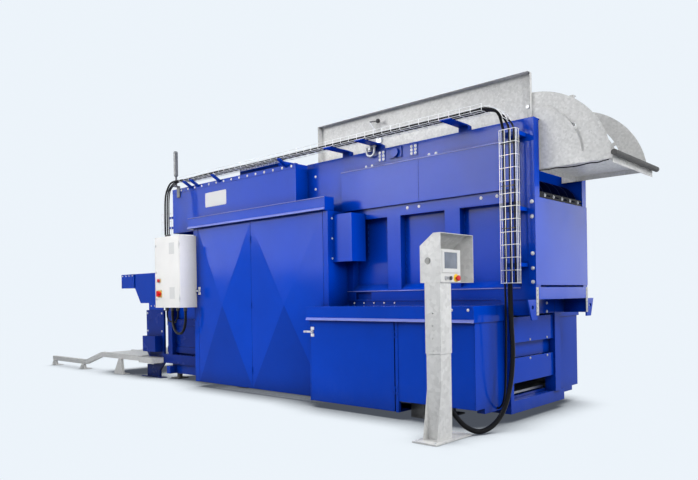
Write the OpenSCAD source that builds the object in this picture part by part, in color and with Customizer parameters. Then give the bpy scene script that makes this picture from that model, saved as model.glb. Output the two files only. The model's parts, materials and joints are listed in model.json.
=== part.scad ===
// Horizontal recycling baler: press channel, charging chamber, tilting feed hood and control pillar.
// Lengths are in millimetres.
// Machine places count from the intake end (x), the centre line (y) and the floor (z).

/* [Charging chamber] */
// Length of the charging chamber
chamber_l = 2050; // [1900:10:2300]
// Width of the machine body over its ribs
chamber_w = 1000; // [960:10:1040]
// Height of the chamber's underside above the floor
chamber_z = 1000; // [980:5:1060]
// Height of the chamber walls
chamber_h = 1440; // [1400:10:1500]
// Thickness of the structural plates
plate_t = 10; // [8:1:12]
// Thickness of the folded sheets
sheet_t = 3; // [2:0.5:4]
// Depth of the wall ribs
rib_d = 75; // [60:5:80]
// Width of a wall rib
rib_w = 155; // [120:5:180]
// Distance of the rear rib from the intake end
rear_rib_x = 1490; // [1400:10:1600]
// Distance of the front rib from the intake end
front_rib_x = 845; // [700:10:950]
// Width of the end columns
column_w = 120; // [90:5:160]
// Height of the sill's upright face
sill_h = 93; // [70:1:110]
// Rise of the sill's sloping top
sill_rise = 55; // [30:5:80]
// Drop of the top beam's underside below the chamber's rim
beam_drop = 650; // [620:10:680]
// Height of the top beam
beam_h = 100; // [80:5:120]
// Height of the cover panels above the top beam
cover_h = 396; // [340:2:410]
// Depth of the cover panels
cover_d = 30; // [20:1:40]
// Distance of the seam between the cover panels from the intake end
seam_x = 1100; // [950:10:1250]

/* [Press] */
// Length of the press channel from the intake end
channel_l = 5200; // [5000:20:5300]
// Distance of the base end face from the intake end
base_inset = 230; // [200:5:260]
// Height of the feet
foot_h = 70; // [50:1:90]
// Height of the base rails
rail_h = 100; // [80:5:120]
// Clear width of the press channel
channel_w = 880; // [840:10:900]
// Thickness of the channel walls
channel_t = 15; // [12:1:18]
// Length of the ram
ram_l = 800; // [700:10:820]
// Travel of the ram
ram_stroke = 700; // [600:10:720]
// Running gap beside and above the ram
ram_gap = 10; // [6:1:14]
// Outer diameter of the press cylinders
barrel_d = 130; // [120:2:150]
// Bore of the press cylinders
barrel_bore = 100; // [90:2:110]
// Diameter of the piston rods
rod_d = 70; // [50:2:80]
// Height of the piston rods above the floor
rod_z = 650; // [600:5:700]
// Distance of the piston rods from the centre line
rod_y = 720; // [680:5:760]

/* [Pre-press flap] */
// Distance of the flap shaft from the intake end
flap_x = 1372; // [1340:2:1420]
// Drop of the flap shaft below the chamber's rim
flap_drop = 61; // [55:1:70]
// Diameter of the flap shaft
shaft_d = 60; // [50:2:70]
// Reach of the flap from its shaft
flap_l = 680; // [600:10:690]

/* [Feed hood] */
// Distance of the hood pivot from the intake end
pivot_x = 102; // [90:2:110]
// Drop of the hood pivot below the chamber's rim
pivot_drop = 336; // [320:2:350]
// Radius of the rounded cheek edge
cheek_r = 669; // [640:1:690]
// Drop of the cheek's centre below the pivot
cheek_drop = 108; // [90:2:120]
// Radius of the guide slot around the pivot
slot_r = 449; // [420:1:470]
// Width of the guide slot
slot_w = 22; // [18:1:26]
// Distance of the guard walls' outer faces from the centre line
guard_y = 403; // [402:0.5:406]
// Height of the guard walls
guard_h = 382; // [340:2:420]
// Length of the guard walls
guard_l = 2373; // [2200:1:2500]
// Height of the pan flanges under the hood
pan_h = 43; // [35:1:50]
// Diameter of the rubber safety edge
edge_d = 44; // [36:1:50]
// Width of the hood lip and its safety edge
edge_w = 960; // [860:10:980]

/* [Door casing] */
// Distance of the casing's near side from the intake end
casing_x = 2013; // [1990:1:2030]
// Length of the door casing
casing_l = 2259; // [2200:1:2270]
// Distance of the casing front from the centre line
casing_y = 770; // [750:5:780]
// Height of the casing's top above the floor
casing_top = 1885; // [1860:5:1890]
// Clearance under the casing
casing_low = 60; // [50:1:80]
// Width of the casing strip beside the hinged leaf
strip_w = 90; // [80:1:100]
// Depth of the door leaves
leaf_d = 25; // [20:1:30]
// Height of the cross-broken point of a leaf
crease_h = 24; // [10:1:30]
// Gap around the door leaves
leaf_gap = 4; // [3:0.5:6]
// Height of the canopy over the doors
canopy_h = 130; // [110:2:150]
// Overhang of the canopy in front of the doors
canopy_d = 30; // [26:1:45]

/* [Upper cabinet] */
// Length of the upper cabinet
upper_l = 2305; // [2200:5:2400]
// Distance of the upper cabinet from the intake end
upper_x = 2560; // [2500:5:2600]
// Distance of its front from the centre line
upper_y = 670; // [640:5:700]
// Height of its top flange
flange_h = 50; // [40:1:60]

/* [Cylinder casings] */
// Length of the cylinder casings
side_l = 1820; // [1780:5:1830]
// Distance of the cylinder casings from the intake end
side_x = 290; // [280:2:300]
// Distance of the casing fronts from the centre line
side_y = 940; // [900:5:980]
// Height of the fixed panels' lower edge
side_low = 155; // [120:5:180]
// Height of the lid's lower edge
lid_z = 830; // [800:5:850]
// Height of the lid
lid_h = 128; // [110:2:130]
// Overhang of the lid in front of the panels
lid_d = 28; // [20:1:40]
// Width of the hinged casing door
side_door_w = 990; // [900:5:1000]

/* [Control cabinet] */
// Width of the control cabinet
cab_w = 545; // [500:5:560]
// Height of the control cabinet
cab_h = 855; // [800:5:900]
// Depth of the control cabinet
cab_d = 228; // [200:1:260]
// Distance of the cabinet's near side from the intake end
cab_x = 4217; // [4210:1:4240]
// Height of the cabinet's underside
cab_z = 948; // [900:2:1000]
// Depth of the cabinet door
cab_door_d = 15; // [12:1:20]

/* [Control pillar] */
// Distance of the pillar head's open face from the intake end
head_x = 267; // [250:1:290]
// Distance of the pillar head's outer plate from the centre line
head_y = 1420; // [1400:5:1440]
// Width of the pillar head
head_w = 435; // [400:5:460]
// Depth of the pillar head
head_d = 180; // [170:1:200]
// Height of the pillar head
head_h = 357; // [340:1:380]
// Height of the head's underside
head_z = 1138; // [1100:2:1180]
// Side of the post along the machine
post_x = 125; // [110:1:140]
// Side of the post across the machine
post_y = 130; // [110:1:140]
// Height of the sleeve's lower end
sleeve_z = 626; // [600:2:660]
// Thickness of the pillar's sheet
pillar_t = 4; // [3:0.5:5]
// Play between the post and its sleeve
sleeve_gap = 0.5; // [0.3:0.1:0.8]

/* [Outfeed] */
// Gap from the channel's end to the gate plates
gate_gap = 116; // [110:2:160]
// Length of the gate plates
gate_l = 434; // [420:2:460]
// Height of the gate plates
gate_h = 904; // [860:2:940]
// Distance of the gate plates' outer faces from the centre line
gate_y = 555; // [550:1:570]
// Thickness of the gate plates
gate_t = 30; // [25:1:35]
// Height of the outfeed rails at the gate
table_z = 290; // [270:2:310]
// Height of the outfeed rails at their far end
ramp_z = 150; // [130:2:170]
// Reach of the outfeed rails from the intake end
table_end = 8430; // [8200:10:8600]
// Distance of the outfeed rails from the centre line
table_y = 720; // [700:5:740]

/* [Cable trays] */
// Width of the wire trays
tray_w = 150; // [100:10:200]
// Depth of the wire trays
tray_d = 60; // [40:5:80]
// Spacing of the tray's cross wires
rung = 100; // [90:5:120]
// Thickness of the tray wires
wire = 5; // [4:0.5:6]
// Height of the tray's underside above the chamber's rim
tray_rise = 50; // [45:1:60]
// Distance of the tray's middle from the centre line
tray_y = 700; // [690:5:720]

/* [Fits] */
// Running clearance on the radius of pins and shafts
fit = 0.05; // [0.02:0.01:0.1]
// Gap of sliding shoes and of parts that rest
rest_gap = 0.3; // [0.2:0.05:0.5]

/* [Hidden] */
$fn = 48;
blue = [0.05, 0.16, 0.62];
zinc = [0.78, 0.78, 0.77];
pale = [0.92, 0.91, 0.90];
dark = [0.08, 0.08, 0.09];
red = [0.75, 0.08, 0.06];

half_w = chamber_w / 2;
wall_y = half_w - rib_d;
inner_y = wall_y - plate_t;
chamber_top = chamber_z + chamber_h;
flap_z = chamber_top - flap_drop;
pivot_z = chamber_top - pivot_drop;
tray_z = chamber_top + tray_rise;
chamber_floor = chamber_z + plate_t + 2;
sill_top = chamber_floor + sill_h;
beam_low = chamber_top - beam_drop;
beam_top = beam_low + beam_h;
cover_top = beam_top + cover_h;
rim_z = chamber_top - plate_t;
opening_low = beam_low + 23;
opening_high = pivot_z - 60;

base_d = 80;
mid_x = channel_l * 0.42;
base_w = 1180;
floor_z = foot_h + rail_h;
floor_t = 20;
channel_floor = floor_z + floor_t;
channel_y = channel_w / 2;
channel_out = channel_y + channel_t;
near_post = 50;
far_post = 220;
far_post_w = 110;
post_near = half_w - near_post;
post_far = half_w - far_post;
post_front = base_inset - 20;
cross_x = post_front + 3;
cross_low = chamber_z - 126;

ram_tail = base_inset + 100;
ram_face = ram_tail + ram_l;
feed_rear = chamber_l - 210;
feed_front = ram_face + 10;
ram_y = channel_y - ram_gap;
ram_top = chamber_z - 25;
ram_low = channel_floor + ram_gap;
ram_t = 40;
head_bar = 70;
yoke_x = ram_tail + head_bar;
piston_l = 50;
mouth_l = 12;
mouth_x = yoke_x + ram_stroke + 10;
barrel_end = mouth_x + mouth_l + piston_l + ram_stroke + 26;

guard_x = pivot_x - 42;
guard_in = guard_y - sheet_t;
cheek_out = guard_in - 6;
cheek_in = cheek_out - sheet_t;
pan_low = pivot_z - 64;
pan_top = pan_low + pan_h;
cheek_z = pivot_z - cheek_drop;
cheek_tip = sqrt(pow(cheek_r, 2) - pow(pan_low - cheek_z, 2)) - pivot_x;
cheek_back = pivot_x + 73;
pin_d = 30;
stop_angle = 28;
guide_angle = 89;
lip_x = cheek_tip + 18;
edge_x = lip_x + sheet_t + edge_d / 2;
edge_z = pan_low + 26;

casing_end = casing_x + casing_l;
leaf_low = casing_low + 2;
leaf_high = casing_top - sheet_t - 2;
side_strip = 66;
leaf_mid = casing_end - strip_w - (casing_l - strip_w - side_strip) / 2 + 60;
leaf_left = casing_end - strip_w;
canopy_z = casing_top + 5;
canopy_top = canopy_z + canopy_h;
upper_low = casing_top;
upper_end = upper_x + upper_l;
flange_pitch = (upper_l - 120) / 15;
hinge_r = 6;
hinge_pin = 6;
hinge_h = 70;
hinge_tab = 24;

side_end = side_x + side_l;
lid_top = lid_z + lid_h;
side_door_x = side_end - 14 - side_door_w;
side_mid = side_door_x - 34;
box_y = casing_y - 70;
cab_end = cab_x + cab_w;
cab_front = casing_y + 2 + cab_d;
cab_rim = 16;
switch_x = cab_end - 102;
switch_z = cab_z + 168;
estop_z = switch_z + 160;

post_x1 = head_x + 13;
post_x2 = post_x1 + post_x;
post_y2 = head_y - 5;
post_y1 = post_y2 - post_y;
post_top = sleeve_z + 234;
foot_plate = [210, 465, 10];
foot_x = 240;
foot_y = 1545;
panel_x = head_x + 58;
panel_y = head_y - 80;
panel_w = 265;
panel_h = 240;
panel_t = 10;
key_z = head_z + 34;

gate_x = channel_l + gate_gap;
gate_end = gate_x + gate_l;
gate_in = gate_y - gate_t;
clamp_z = gate_h / 2;
clamp_x = gate_x + gate_l / 2;
clamp_rod = 40;
clamp_t = 20;

drop_x = 50;
return_d = 60;
tray_left = upper_end - 305;
tray_right = drop_x + tray_w + 100;
drop_low = chamber_z + 130;
drop_l = chamber_h - 240;
side_drop = 900;
post_l = channel_l - 82;
bend = gate_end + 1000;
ramp_l = 500;

x_min = -table_end;
x_max = edge_x + edge_d / 2;
y_min = -foot_y;
y_max = side_y + lid_d;
frame_x = -(x_min + x_max) / 2;
frame_y = -(y_min + y_max) / 2;

// Moves machine places into the part's frame, whose origin is under the middle of the whole
module place() translate([frame_x, frame_y, 0]) children();

// Block between two places on each axis
module block(x, y, z) translate([x[0], y[0], z[0]]) cube([x[1] - x[0], y[1] - y[0], z[1] - z[0]]);

// A shape and its mirror image across the centre line
module both() {
    children();
    mirror([0, 1, 0]) children();
}

// Round bar along the machine, across it or upright
module bar_x(x, y, z, d) translate([x[0], y, z]) rotate([0, 90, 0]) cylinder(d = d, h = x[1] - x[0]);
module bar_y(x, y, z, d) translate([x, y[0], z]) rotate([-90, 0, 0]) cylinder(d = d, h = y[1] - y[0]);
module bar_z(x, y, z, d) translate([x, y, z[0]]) cylinder(d = d, h = z[1] - z[0]);

// Plate cut from a side outline of x and z points
module side_plate(points, y) translate([0, y[1], 0]) rotate([90, 0, 0])
    linear_extrude(y[1] - y[0]) polygon(points);

// Bolt heads on a face towards the operator, at x and z places
module bolts_y(points, y, d = 22) translate([0, y, 0]) rotate([90, 0, 0]) linear_extrude(d * 0.4)
    for (p = points) translate(p) circle(d = d, $fn = 24);

// Bolt heads on a face towards the intake, at y and z places
module bolts_x(points, x, d = 22) translate([x, 0, 0]) rotate([90, 0, 90]) linear_extrude(d * 0.4)
    for (p = points) translate(p) circle(d = d, $fn = 24);

// Fixed half of an upright hinge: pin, two knuckles and their tabs
module hinge_fixed(tab = hinge_tab) {
    end = (hinge_h - 30) / 2;
    translate([0, 0, -hinge_h / 2]) cylinder(d = hinge_pin, h = hinge_h);
    for (z = [-hinge_h / 2, hinge_h / 2 - end]) translate([0, 0, z]) {
        cylinder(r = hinge_r, h = end);
        translate([0, hinge_r - 3, 0]) cube([tab, 3, end]);
    }
}

// Moving half of an upright hinge: one knuckle on the pin and its tab
module hinge_moving(tab = hinge_tab) {
    mid = 30 - 2 * rest_gap;
    translate([0, 0, -mid / 2]) difference() {
        union() {
            cylinder(r = hinge_r, h = mid);
            translate([-tab, hinge_r - 3, 0]) cube([tab, 3, mid]);
        }
        translate([0, 0, -1]) cylinder(d = hinge_pin + 2 * fit, h = mid + 2);
    }
}

// Points of a circle across a path at one of its places
function ring(p, t, r, n) =
    let (side = cross(t, abs(t[2]) > 0.9 ? [0, 1, 0] : [0, 0, 1]), u = side / norm(side), v = cross(t, u))
    [for (i = [0 : n - 1]) p + r * (cos(360 * i / n) * u + sin(360 * i / n) * v)];

// Tube of one radius swept along a route
module tube(route, r, n = 8) {
    m = len(route);
    dir = [for (i = [0 : m - 1]) let (d = route[min(i + 1, m - 1)] - route[max(i - 1, 0)]) d / norm(d)];
    points = [for (i = [0 : m - 1]) each ring(route[i], dir[i], r, n)];
    walls = [for (i = [0 : m - 2], j = [0 : n - 1])
        each [[i * n + j, i * n + (j + 1) % n, (i + 1) * n + j],
              [i * n + (j + 1) % n, (i + 1) * n + (j + 1) % n, (i + 1) * n + j]]];
    ends = [[for (j = [0 : n - 1]) n - 1 - j], [for (j = [0 : n - 1]) (m - 1) * n + j]];
    polyhedron(points = points, faces = concat([for (w = walls) [w[2], w[1], w[0]]],
        [for (e = ends) [for (k = [0 : n - 1]) e[n - 1 - k]]]), convexity = 6);
}

// Smooth route through hand-chosen points
function blend(a, b, c, d, t) = 0.5 * (2 * b + (c - a) * t + (2 * a - 5 * b + 4 * c - d) * t * t
    + (3 * b - a - 3 * c + d) * t * t * t);
function smooth(p, k) = [for (i = [0 : len(p) - 2], s = [0 : k - 1])
    blend(p[max(i - 1, 0)], p[i], p[i + 1], p[min(i + 2, len(p) - 1)], s / k), p[len(p) - 1]];

// Base frame: rails, cross beams, end posts, the boards between them and brackets under the casings
module base_frame() color(blue) place() {
    both() block([-channel_l, -base_inset], [half_w - 100, half_w], [foot_h, floor_z]);
    for (p = [[base_inset, half_w], [mid_x, base_w / 2], [channel_l - base_d, base_w / 2]])
        block([-p[0] - base_d, -p[0]], [-p[1], p[1]], [foot_h, floor_z]);
    block([-base_inset - base_d, -base_inset], [-half_w, -post_near], [floor_z, chamber_z]);
    block([-base_inset - base_d, -post_front], [post_far, post_far + far_post_w], [floor_z, chamber_z]);
    block([-base_inset - 20, -base_inset], [-post_near, post_far], [chamber_z - 355, chamber_z - 143]);
    block([-base_inset - 60, -base_inset - 40], [-post_near, post_far], [chamber_z - 482, chamber_z - 355]);
    block([-base_inset - 20, -base_inset], [-post_near, post_far], [channel_floor + 125, chamber_z - 482]);
    both() block([-side_x - 70, -side_x], [-side_y + 130, -half_w], [side_low - 42, side_low]);
}

// Feet: pad, stem and head under the base rails, and a block under each cylinder casing
module base_feet() color(dark) place() both() {
    for (x = [channel_l * 0.16, mid_x + base_d / 2, channel_l * 0.71, channel_l - 90]) {
        block([-x - 80, -x + 80], [half_w - 130, half_w + 30], [0, 14]);
        bar_z(-x, half_w - 50, [14, foot_h], 70);
    }
    block([-side_mid + 40, -side_mid + 180], [rod_y - 80, rod_y + 60], [0, side_low]);
}

// Press channel: floor, slotted side walls, roof and the rails that carry the chamber
module press_channel() color(blue) place() {
    tail = base_inset + base_d;
    block([-channel_l, -tail], [-half_w, half_w], [floor_z, channel_floor]);
    both() difference() {
        block([-channel_l, -tail], [channel_y, channel_out], [channel_floor, chamber_z]);
        block([-yoke_x - ram_stroke - 20, 0], [channel_y - 1, channel_out + 1],
            [rod_z - head_bar / 2 - 5, rod_z + head_bar / 2 + 5]);
    }
    block([-channel_l, -chamber_l], [-channel_y, channel_y], [chamber_z - channel_t, chamber_z]);
    both() block([-chamber_l, -tail], [channel_out, half_w - 5], [lid_top, chamber_z]);
}

// Chamber base: floor with the feed opening, sill strip and rear wall
module chamber_base() color(blue) place() {
    difference() {
        block([-chamber_l, 0], [-half_w, half_w], [chamber_z, chamber_floor]);
        block([-feed_rear, -feed_front], [-channel_y + 10, channel_y - 10],
            [chamber_z - 1, chamber_floor + 1]);
    }
    block([-40, 0], [-inner_y, inner_y], [chamber_floor, sill_top - 6]);
    block([0, 4], [-half_w + 40, half_w - 40], [chamber_z, sill_top - 6]);
    block([-chamber_l, -chamber_l + plate_t], [-inner_y, inner_y], [chamber_floor, rim_z]);
}

// Side wall of the chamber: ribs, sill, beam, upper wall, rim and the hole for the flap shaft
module chamber_side() {
    difference() {
        union() {
            block([-chamber_l, 0], [-wall_y, -inner_y], [chamber_floor, rim_z]);
            block([-chamber_l, 0], [-half_w, -half_w + plate_t], [beam_top, rim_z]);
            block([-chamber_l, 0], [-half_w, -guard_in + 2], [rim_z, chamber_top]);
            block([-chamber_l, 0], [-half_w, -wall_y], [beam_low, beam_top]);
            for (x = [[-chamber_l, -chamber_l + column_w], [-rear_rib_x, -rear_rib_x + rib_w],
                      [-front_rib_x, -front_rib_x + rib_w]])
                block(x, [-half_w, -wall_y], [chamber_floor, beam_low]);
            block([-column_w, 0], [-half_w, -wall_y], [chamber_floor, rim_z]);
            translate([-chamber_l, 0, 0]) rotate([90, 0, 90]) linear_extrude(chamber_l)
                polygon([[-half_w, chamber_floor], [-wall_y, chamber_floor],
                         [-wall_y, sill_top + sill_rise], [-half_w, sill_top]]);
        }
        bar_y(-flap_x, [-half_w - 1, -inner_y + 1], flap_z, shaft_d + 10);
        block([-1900, -1700], [-half_w - 1, -half_w + 30], [chamber_floor + 4, sill_top - 20]);
    }
}
module chamber_front() color(blue) place() chamber_side();
module chamber_rear() color(blue) place() mirror([0, 1, 0]) chamber_side();

// Folded cover panels on the upper walls, and the bolted patch plates above them
module cover_panels() color(blue) place() both() {
    for (x = [[-chamber_l + 2, -seam_x - 1], [-seam_x + 1, -column_w - 16]]) difference() {
        block(x, [-half_w - cover_d, -half_w], [beam_top, cover_top]);
        block([x[0] + sheet_t, x[1] - sheet_t], [-half_w - cover_d + sheet_t, -half_w + 1],
            [beam_top + sheet_t, cover_top - sheet_t]);
    }
    for (x = [flap_x + 170, flap_x - 205])
        block([-x - 45, -x + 45], [-half_w - 6, -half_w], [cover_top + 34, rim_z - 4]);
}

// End panel that closes the intake end below the hood, with its side returns
module end_panel() color(blue) place() {
    low = sill_top + 10;
    block([0, sheet_t + 1], [-half_w - sheet_t, half_w + sheet_t], [low, opening_low]);
    both() block([-return_d, 0], [-half_w - sheet_t, -half_w], [low, opening_low]);
}

// Comb of curved fins in the intake opening
module intake_fins() color([0.02, 0.06, 0.30]) place() {
    r = 190;
    x0 = -210;
    low = opening_low + 7;
    block([x0 - 8, x0], [-inner_y, inner_y], [low, opening_high - 20]);
    for (k = [-2 : 2]) intersection() {
        bar_y(x0, [k * 160 + 17, k * 160 + 23], low, 2 * r);
        block([x0, x0 + r], [k * 160 + 17, k * 160 + 23], [low, low + r]);
    }
}

// Slotted sealing strip under the fins and the straps at the lower corners
module intake_strips() color(zinc) place() {
    difference() {
        block([-10, -6], [-inner_y, inner_y], [opening_low, opening_low + 52]);
        for (k = [-2 : 2])
            block([-11, -5], [k * 160 + 40, k * 160 + 110], [opening_low + 22, opening_low + 34]);
    }
    both() difference() {
        block([0, 4], [-half_w, -half_w + 36], [chamber_z - 124, sill_top - 8]);
        for (k = [0 : 5]) bar_x([-1, 5], -half_w + 18, chamber_z - 100 + k * 34, 14);
    }
}

// Gusset plates below the intake end, with side plates back to the cross plates at the posts
module end_gussets() color(blue) place() {
    both() difference() {
        translate([-12, 0, 0]) rotate([90, 0, 90]) linear_extrude(12)
            polygon([[-637, chamber_z], [-half_w + 20, chamber_z], [-half_w + 20, chamber_z - 160],
                     [-576, chamber_z - 160]]);
        bar_x([-13, 1], -560, chamber_z - 62, 34);
    }
    for (y = [[-half_w + 20, post_far], [post_far + far_post_w, half_w - 20]])
        block([-cross_x - 12, -cross_x], y, [cross_low, chamber_z]);
    both() block([-cross_x - 12, -12], [-half_w + 8, -half_w + 20], [cross_low, chamber_z]);
}

// Upper cabinet over the door casing, with its folded top flange and the box behind it
module upper_cabinet() color(blue) place() {
    difference() {
        block([-upper_end, -upper_x], [-upper_y, upper_y], [upper_low, chamber_top - flange_h]);
        block([-upper_end + sheet_t, -upper_x - sheet_t], [-upper_y + sheet_t, upper_y - sheet_t],
            [upper_low - 1, chamber_top - flange_h - sheet_t]);
    }
    both() block([-upper_end, -upper_x], [-upper_y - sheet_t, -upper_y + 30],
        [chamber_top - flange_h, chamber_top]);
    block([-upper_x - 1000, -upper_x - 340], [-upper_y + 60, upper_y - 60],
        [chamber_top - flange_h, chamber_top + 90]);
    both() block([-upper_x, -chamber_l], [-half_w, -half_w + plate_t], [casing_top, chamber_top]);
}

// Casing around the press channel: sides, top, rear wall and the front strips
module door_casing() color(blue) place() {
    clear = channel_out + rest_gap;
    difference() {
        block([-casing_end, -casing_end + sheet_t], [-casing_y, upper_y], [casing_low, casing_top]);
        block([-casing_end - 1, -casing_end + sheet_t + 1], [-half_w, half_w],
            [casing_low - 1, channel_floor]);
        block([-casing_end - 1, -casing_end + sheet_t + 1], [-clear, clear], [casing_low - 1, chamber_z]);
    }
    block([-casing_x - sheet_t, -casing_x], [-casing_y, -half_w], [casing_low, casing_top]);
    block([-casing_x - sheet_t, -casing_x], [half_w, upper_y], [casing_low, casing_top]);
    difference() {
        block([-casing_end, -casing_x], [-casing_y, upper_y], [casing_top - sheet_t, casing_top]);
        block([-chamber_l, 0], [-half_w, half_w], [casing_top - sheet_t - 1, casing_top + 1]);
    }
    block([-casing_end, -casing_x], [upper_y - sheet_t, upper_y], [casing_low, casing_top]);
    block([-casing_end, -leaf_left - leaf_gap], [-casing_y, -casing_y + leaf_d], [casing_low, casing_top]);
    block([-casing_x - side_strip, -casing_x], [-casing_y, -casing_y + leaf_d], [casing_low, casing_top]);
    block([-leaf_mid - 30, -leaf_mid + 30], [-casing_y + leaf_d + 1, -casing_y + leaf_d + 40],
        [casing_low, casing_top]);
    block([-casing_end, -casing_x], [-casing_y + leaf_d + 1, -casing_y + leaf_d + 40],
        [casing_low, casing_low + 40]);
    block([-leaf_left - 24, -leaf_left - 8], [-casing_y - 14, -casing_y],
        [latch_z - 20, latch_z - 9 - rest_gap]);
}

// Cross-broken sheet leaf: a tray whose front rises to a point in its middle
module cross_leaf(x) {
    y = -casing_y;
    block(x, [y, y + leaf_d], [leaf_low, leaf_high]);
    m = [(x[0] + x[1]) / 2, y - crease_h, (leaf_low + leaf_high) / 2];
    c = [[x[0], y, leaf_low], [x[1], y, leaf_low], [x[1], y, leaf_high], [x[0], y, leaf_high]];
    polyhedron(points = concat(c, [m]),
        faces = [[0, 1, 2, 3], [4, 1, 0], [4, 2, 1], [4, 3, 2], [4, 0, 3]]);
}
latch_z = (casing_low + casing_top) / 2 + 170;
hinge_places = [casing_low + 200, (casing_low + casing_top) / 2, casing_top - 200];

// Bolted leaf beside the cylinder casing, which carries the hinge pins
module door_fixed() color(blue) place() {
    cross_leaf([-leaf_mid + leaf_gap / 2, -casing_x - side_strip - leaf_gap]);
    for (z = hinge_places) translate([-leaf_mid, -casing_y - hinge_r, z]) hinge_fixed();
}

// Hinged leaf, with the spindle of its latch
module door_leaf() color(blue) place() {
    cross_leaf([-leaf_left, -leaf_mid - leaf_gap / 2]);
    for (z = hinge_places) translate([-leaf_mid, -casing_y - hinge_r, z]) hinge_moving();
    bar_y(-leaf_left + 24, [-casing_y - 20, -casing_y], latch_z, 10);
}

// Quarter-turn lever: hub on a spindle, arm and raised grip
module lever(x, y, z, reach) difference() {
    union() {
        bar_y(x, [y - 14, y - rest_gap], z, 28);
        block([x - reach, x], [y - 14, y - 5], [z - 9, z + 9]);
        bar_y(x - reach, [y - 26, y - 5], z, 18);
    }
    bar_y(x, [y - 15, y + 1], z, 10 + 2 * fit);
}
module door_latch() color(zinc) place() lever(-leaf_left + 24, -casing_y - 2, latch_z, 40);

// Canopy over the doors: front, top, ends and a turned lower lip
module door_canopy() color(blue) place() {
    x = [-casing_end - 66, -casing_x - 8];
    y = -casing_y - canopy_d;
    block(x, [y, y + sheet_t], [canopy_z, canopy_top]);
    block(x, [y, -upper_y], [canopy_top - sheet_t, canopy_top]);
    for (e = [x[0], x[1] - sheet_t])
        block([e, e + sheet_t], [y, -upper_y], [canopy_z, canopy_top]);
    block(x, [y - 6, y], [canopy_z, canopy_z + 10]);
    block([x[0], -casing_x - 8], [y, -casing_y + 20], [canopy_z - 5, canopy_z - 2]);
    block([x[0], -casing_x - 8], [y, y + sheet_t], [canopy_z - 5, canopy_z]);
}

// Cylinder casing: fixed panel, sides, bottom and the frame of the door opening
module side_casing() {
    y = -side_y;
    inside = -half_w - 8;
    block([-side_x - sheet_t, -side_x], [y, -half_w], [side_low, lid_z]);
    block([-side_mid, -side_x], [y + 5, y + 5 + sheet_t], [side_low, lid_z]);
    block([-side_mid, -side_x], [y + 5, inside], [side_low, side_low + sheet_t]);
    block([-side_mid, -side_mid + 30], [y, y + 30], [casing_low, lid_z]);
    block([-side_end, -side_end + sheet_t], [y, -casing_y - 2], [casing_low, lid_z]);
    block([-side_end, -side_end + 12], [y, y + 30], [casing_low, lid_z]);
    block([-side_end, -side_mid + 30], [y + 30, -casing_y - 2], [casing_low, casing_low + sheet_t]);
    block([-casing_x + 1, -side_mid + 30], [-casing_y - 2, inside], [casing_low, casing_low + sheet_t]);
    block([-side_end, -side_x], [y + 30, y + 60], [lid_z - 30, lid_z]);
}
side_hinges = [side_low + 90, lid_z - 110];

// Casing on the operator's side, with the pins of its door
module casing_front() color(blue) place() {
    side_casing();
    for (z = side_hinges) translate([-side_mid - hinge_r, -side_y - hinge_r, z]) hinge_fixed();
}

// Casing on the far side, closed by a fixed panel
module casing_rear() color(blue) place() mirror([0, 1, 0]) {
    side_casing();
    block([-side_end, -side_mid], [-side_y, -side_y + leaf_d], [casing_low + sheet_t, lid_z]);
}

// Lids of the cylinder casings: top, front lip with a turned hem, and ends
module casing_lids() color(blue) place() both() {
    x = [-side_end - 10, -side_x + 10];
    y = -side_y - lid_d;
    block(x, [y, -casing_y - 2], [lid_top - sheet_t, lid_top]);
    block([-casing_x + 1, x[1]], [-casing_y - 2, -half_w], [lid_top - sheet_t, lid_top]);
    block(x, [y, y + sheet_t], [lid_z, lid_top]);
    block([x[0], x[0] + sheet_t], [y, -casing_y - 2], [lid_z, lid_top]);
    block([x[1] - sheet_t, x[1]], [y, -half_w], [lid_z, lid_top]);
    block(x, [y, -side_y + 40], [lid_z, lid_z + sheet_t]);
}

// Hinged door of the operator's casing, with the spindle of its latch
module casing_door() color(blue) place() {
    x = [-side_end + 14, -side_mid - 2 * hinge_r];
    difference() {
        block(x, [-side_y, -side_y + leaf_d], [casing_low + sheet_t + 1, lid_z - 2]);
        block([x[0] + sheet_t, x[1] - sheet_t], [-side_y + sheet_t, -side_y + leaf_d + 1],
            [casing_low + 2 * sheet_t + 1, lid_z - 2 - sheet_t]);
    }
    for (z = side_hinges) translate([-side_mid - hinge_r, -side_y - hinge_r, z]) hinge_moving();
    bar_y(x[0] + 26, [-side_y - 20, -side_y], lid_z - 112, 10);
}
module casing_latch() color(zinc) place() lever(-side_end + 40, -side_y, lid_z - 112, 90);

// Junction box between the door casing and the chamber, with its flange
module junction_box() color(blue) place() {
    block([-casing_x, -casing_x + 248], [-box_y, -half_w], [casing_top - 500, casing_top - 40]);
    block([-casing_x, -casing_x + 4], [-box_y - 26, -box_y], [casing_top - 500, casing_top - 40]);
}

// Control cabinet: sheet box, front rim with the hinge pins, and the rails that carry it
module control_cabinet() color(pale) place() {
    y = -cab_front;
    back = y + cab_d;
    difference() {
        block([-cab_end, -cab_x], [y + cab_door_d + 1, back], [cab_z, cab_z + cab_h]);
        block([-cab_end + sheet_t, -cab_x - sheet_t], [y + cab_door_d, back - sheet_t],
            [cab_z + sheet_t, cab_z + cab_h - sheet_t]);
    }
    block([-cab_x - cab_rim, -cab_x], [y, y + cab_door_d + 2], [cab_z, cab_z + cab_h]);
    for (z = [cab_z + 110, cab_z + cab_h - 110])
        translate([-cab_x - cab_rim, y - hinge_r, z]) hinge_fixed(cab_rim);
    for (z = [cab_z + 80, cab_z + cab_h - 120])
        block([-cab_end + 30, -cab_x - 20], [back, back + 2], [z, z + 40]);
    for (z = [cab_z + 80, cab_z + cab_h - 120])
        block([-casing_end - 40, -casing_end], [back + 2, back + 100], [z, z + 40]);
}

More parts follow.
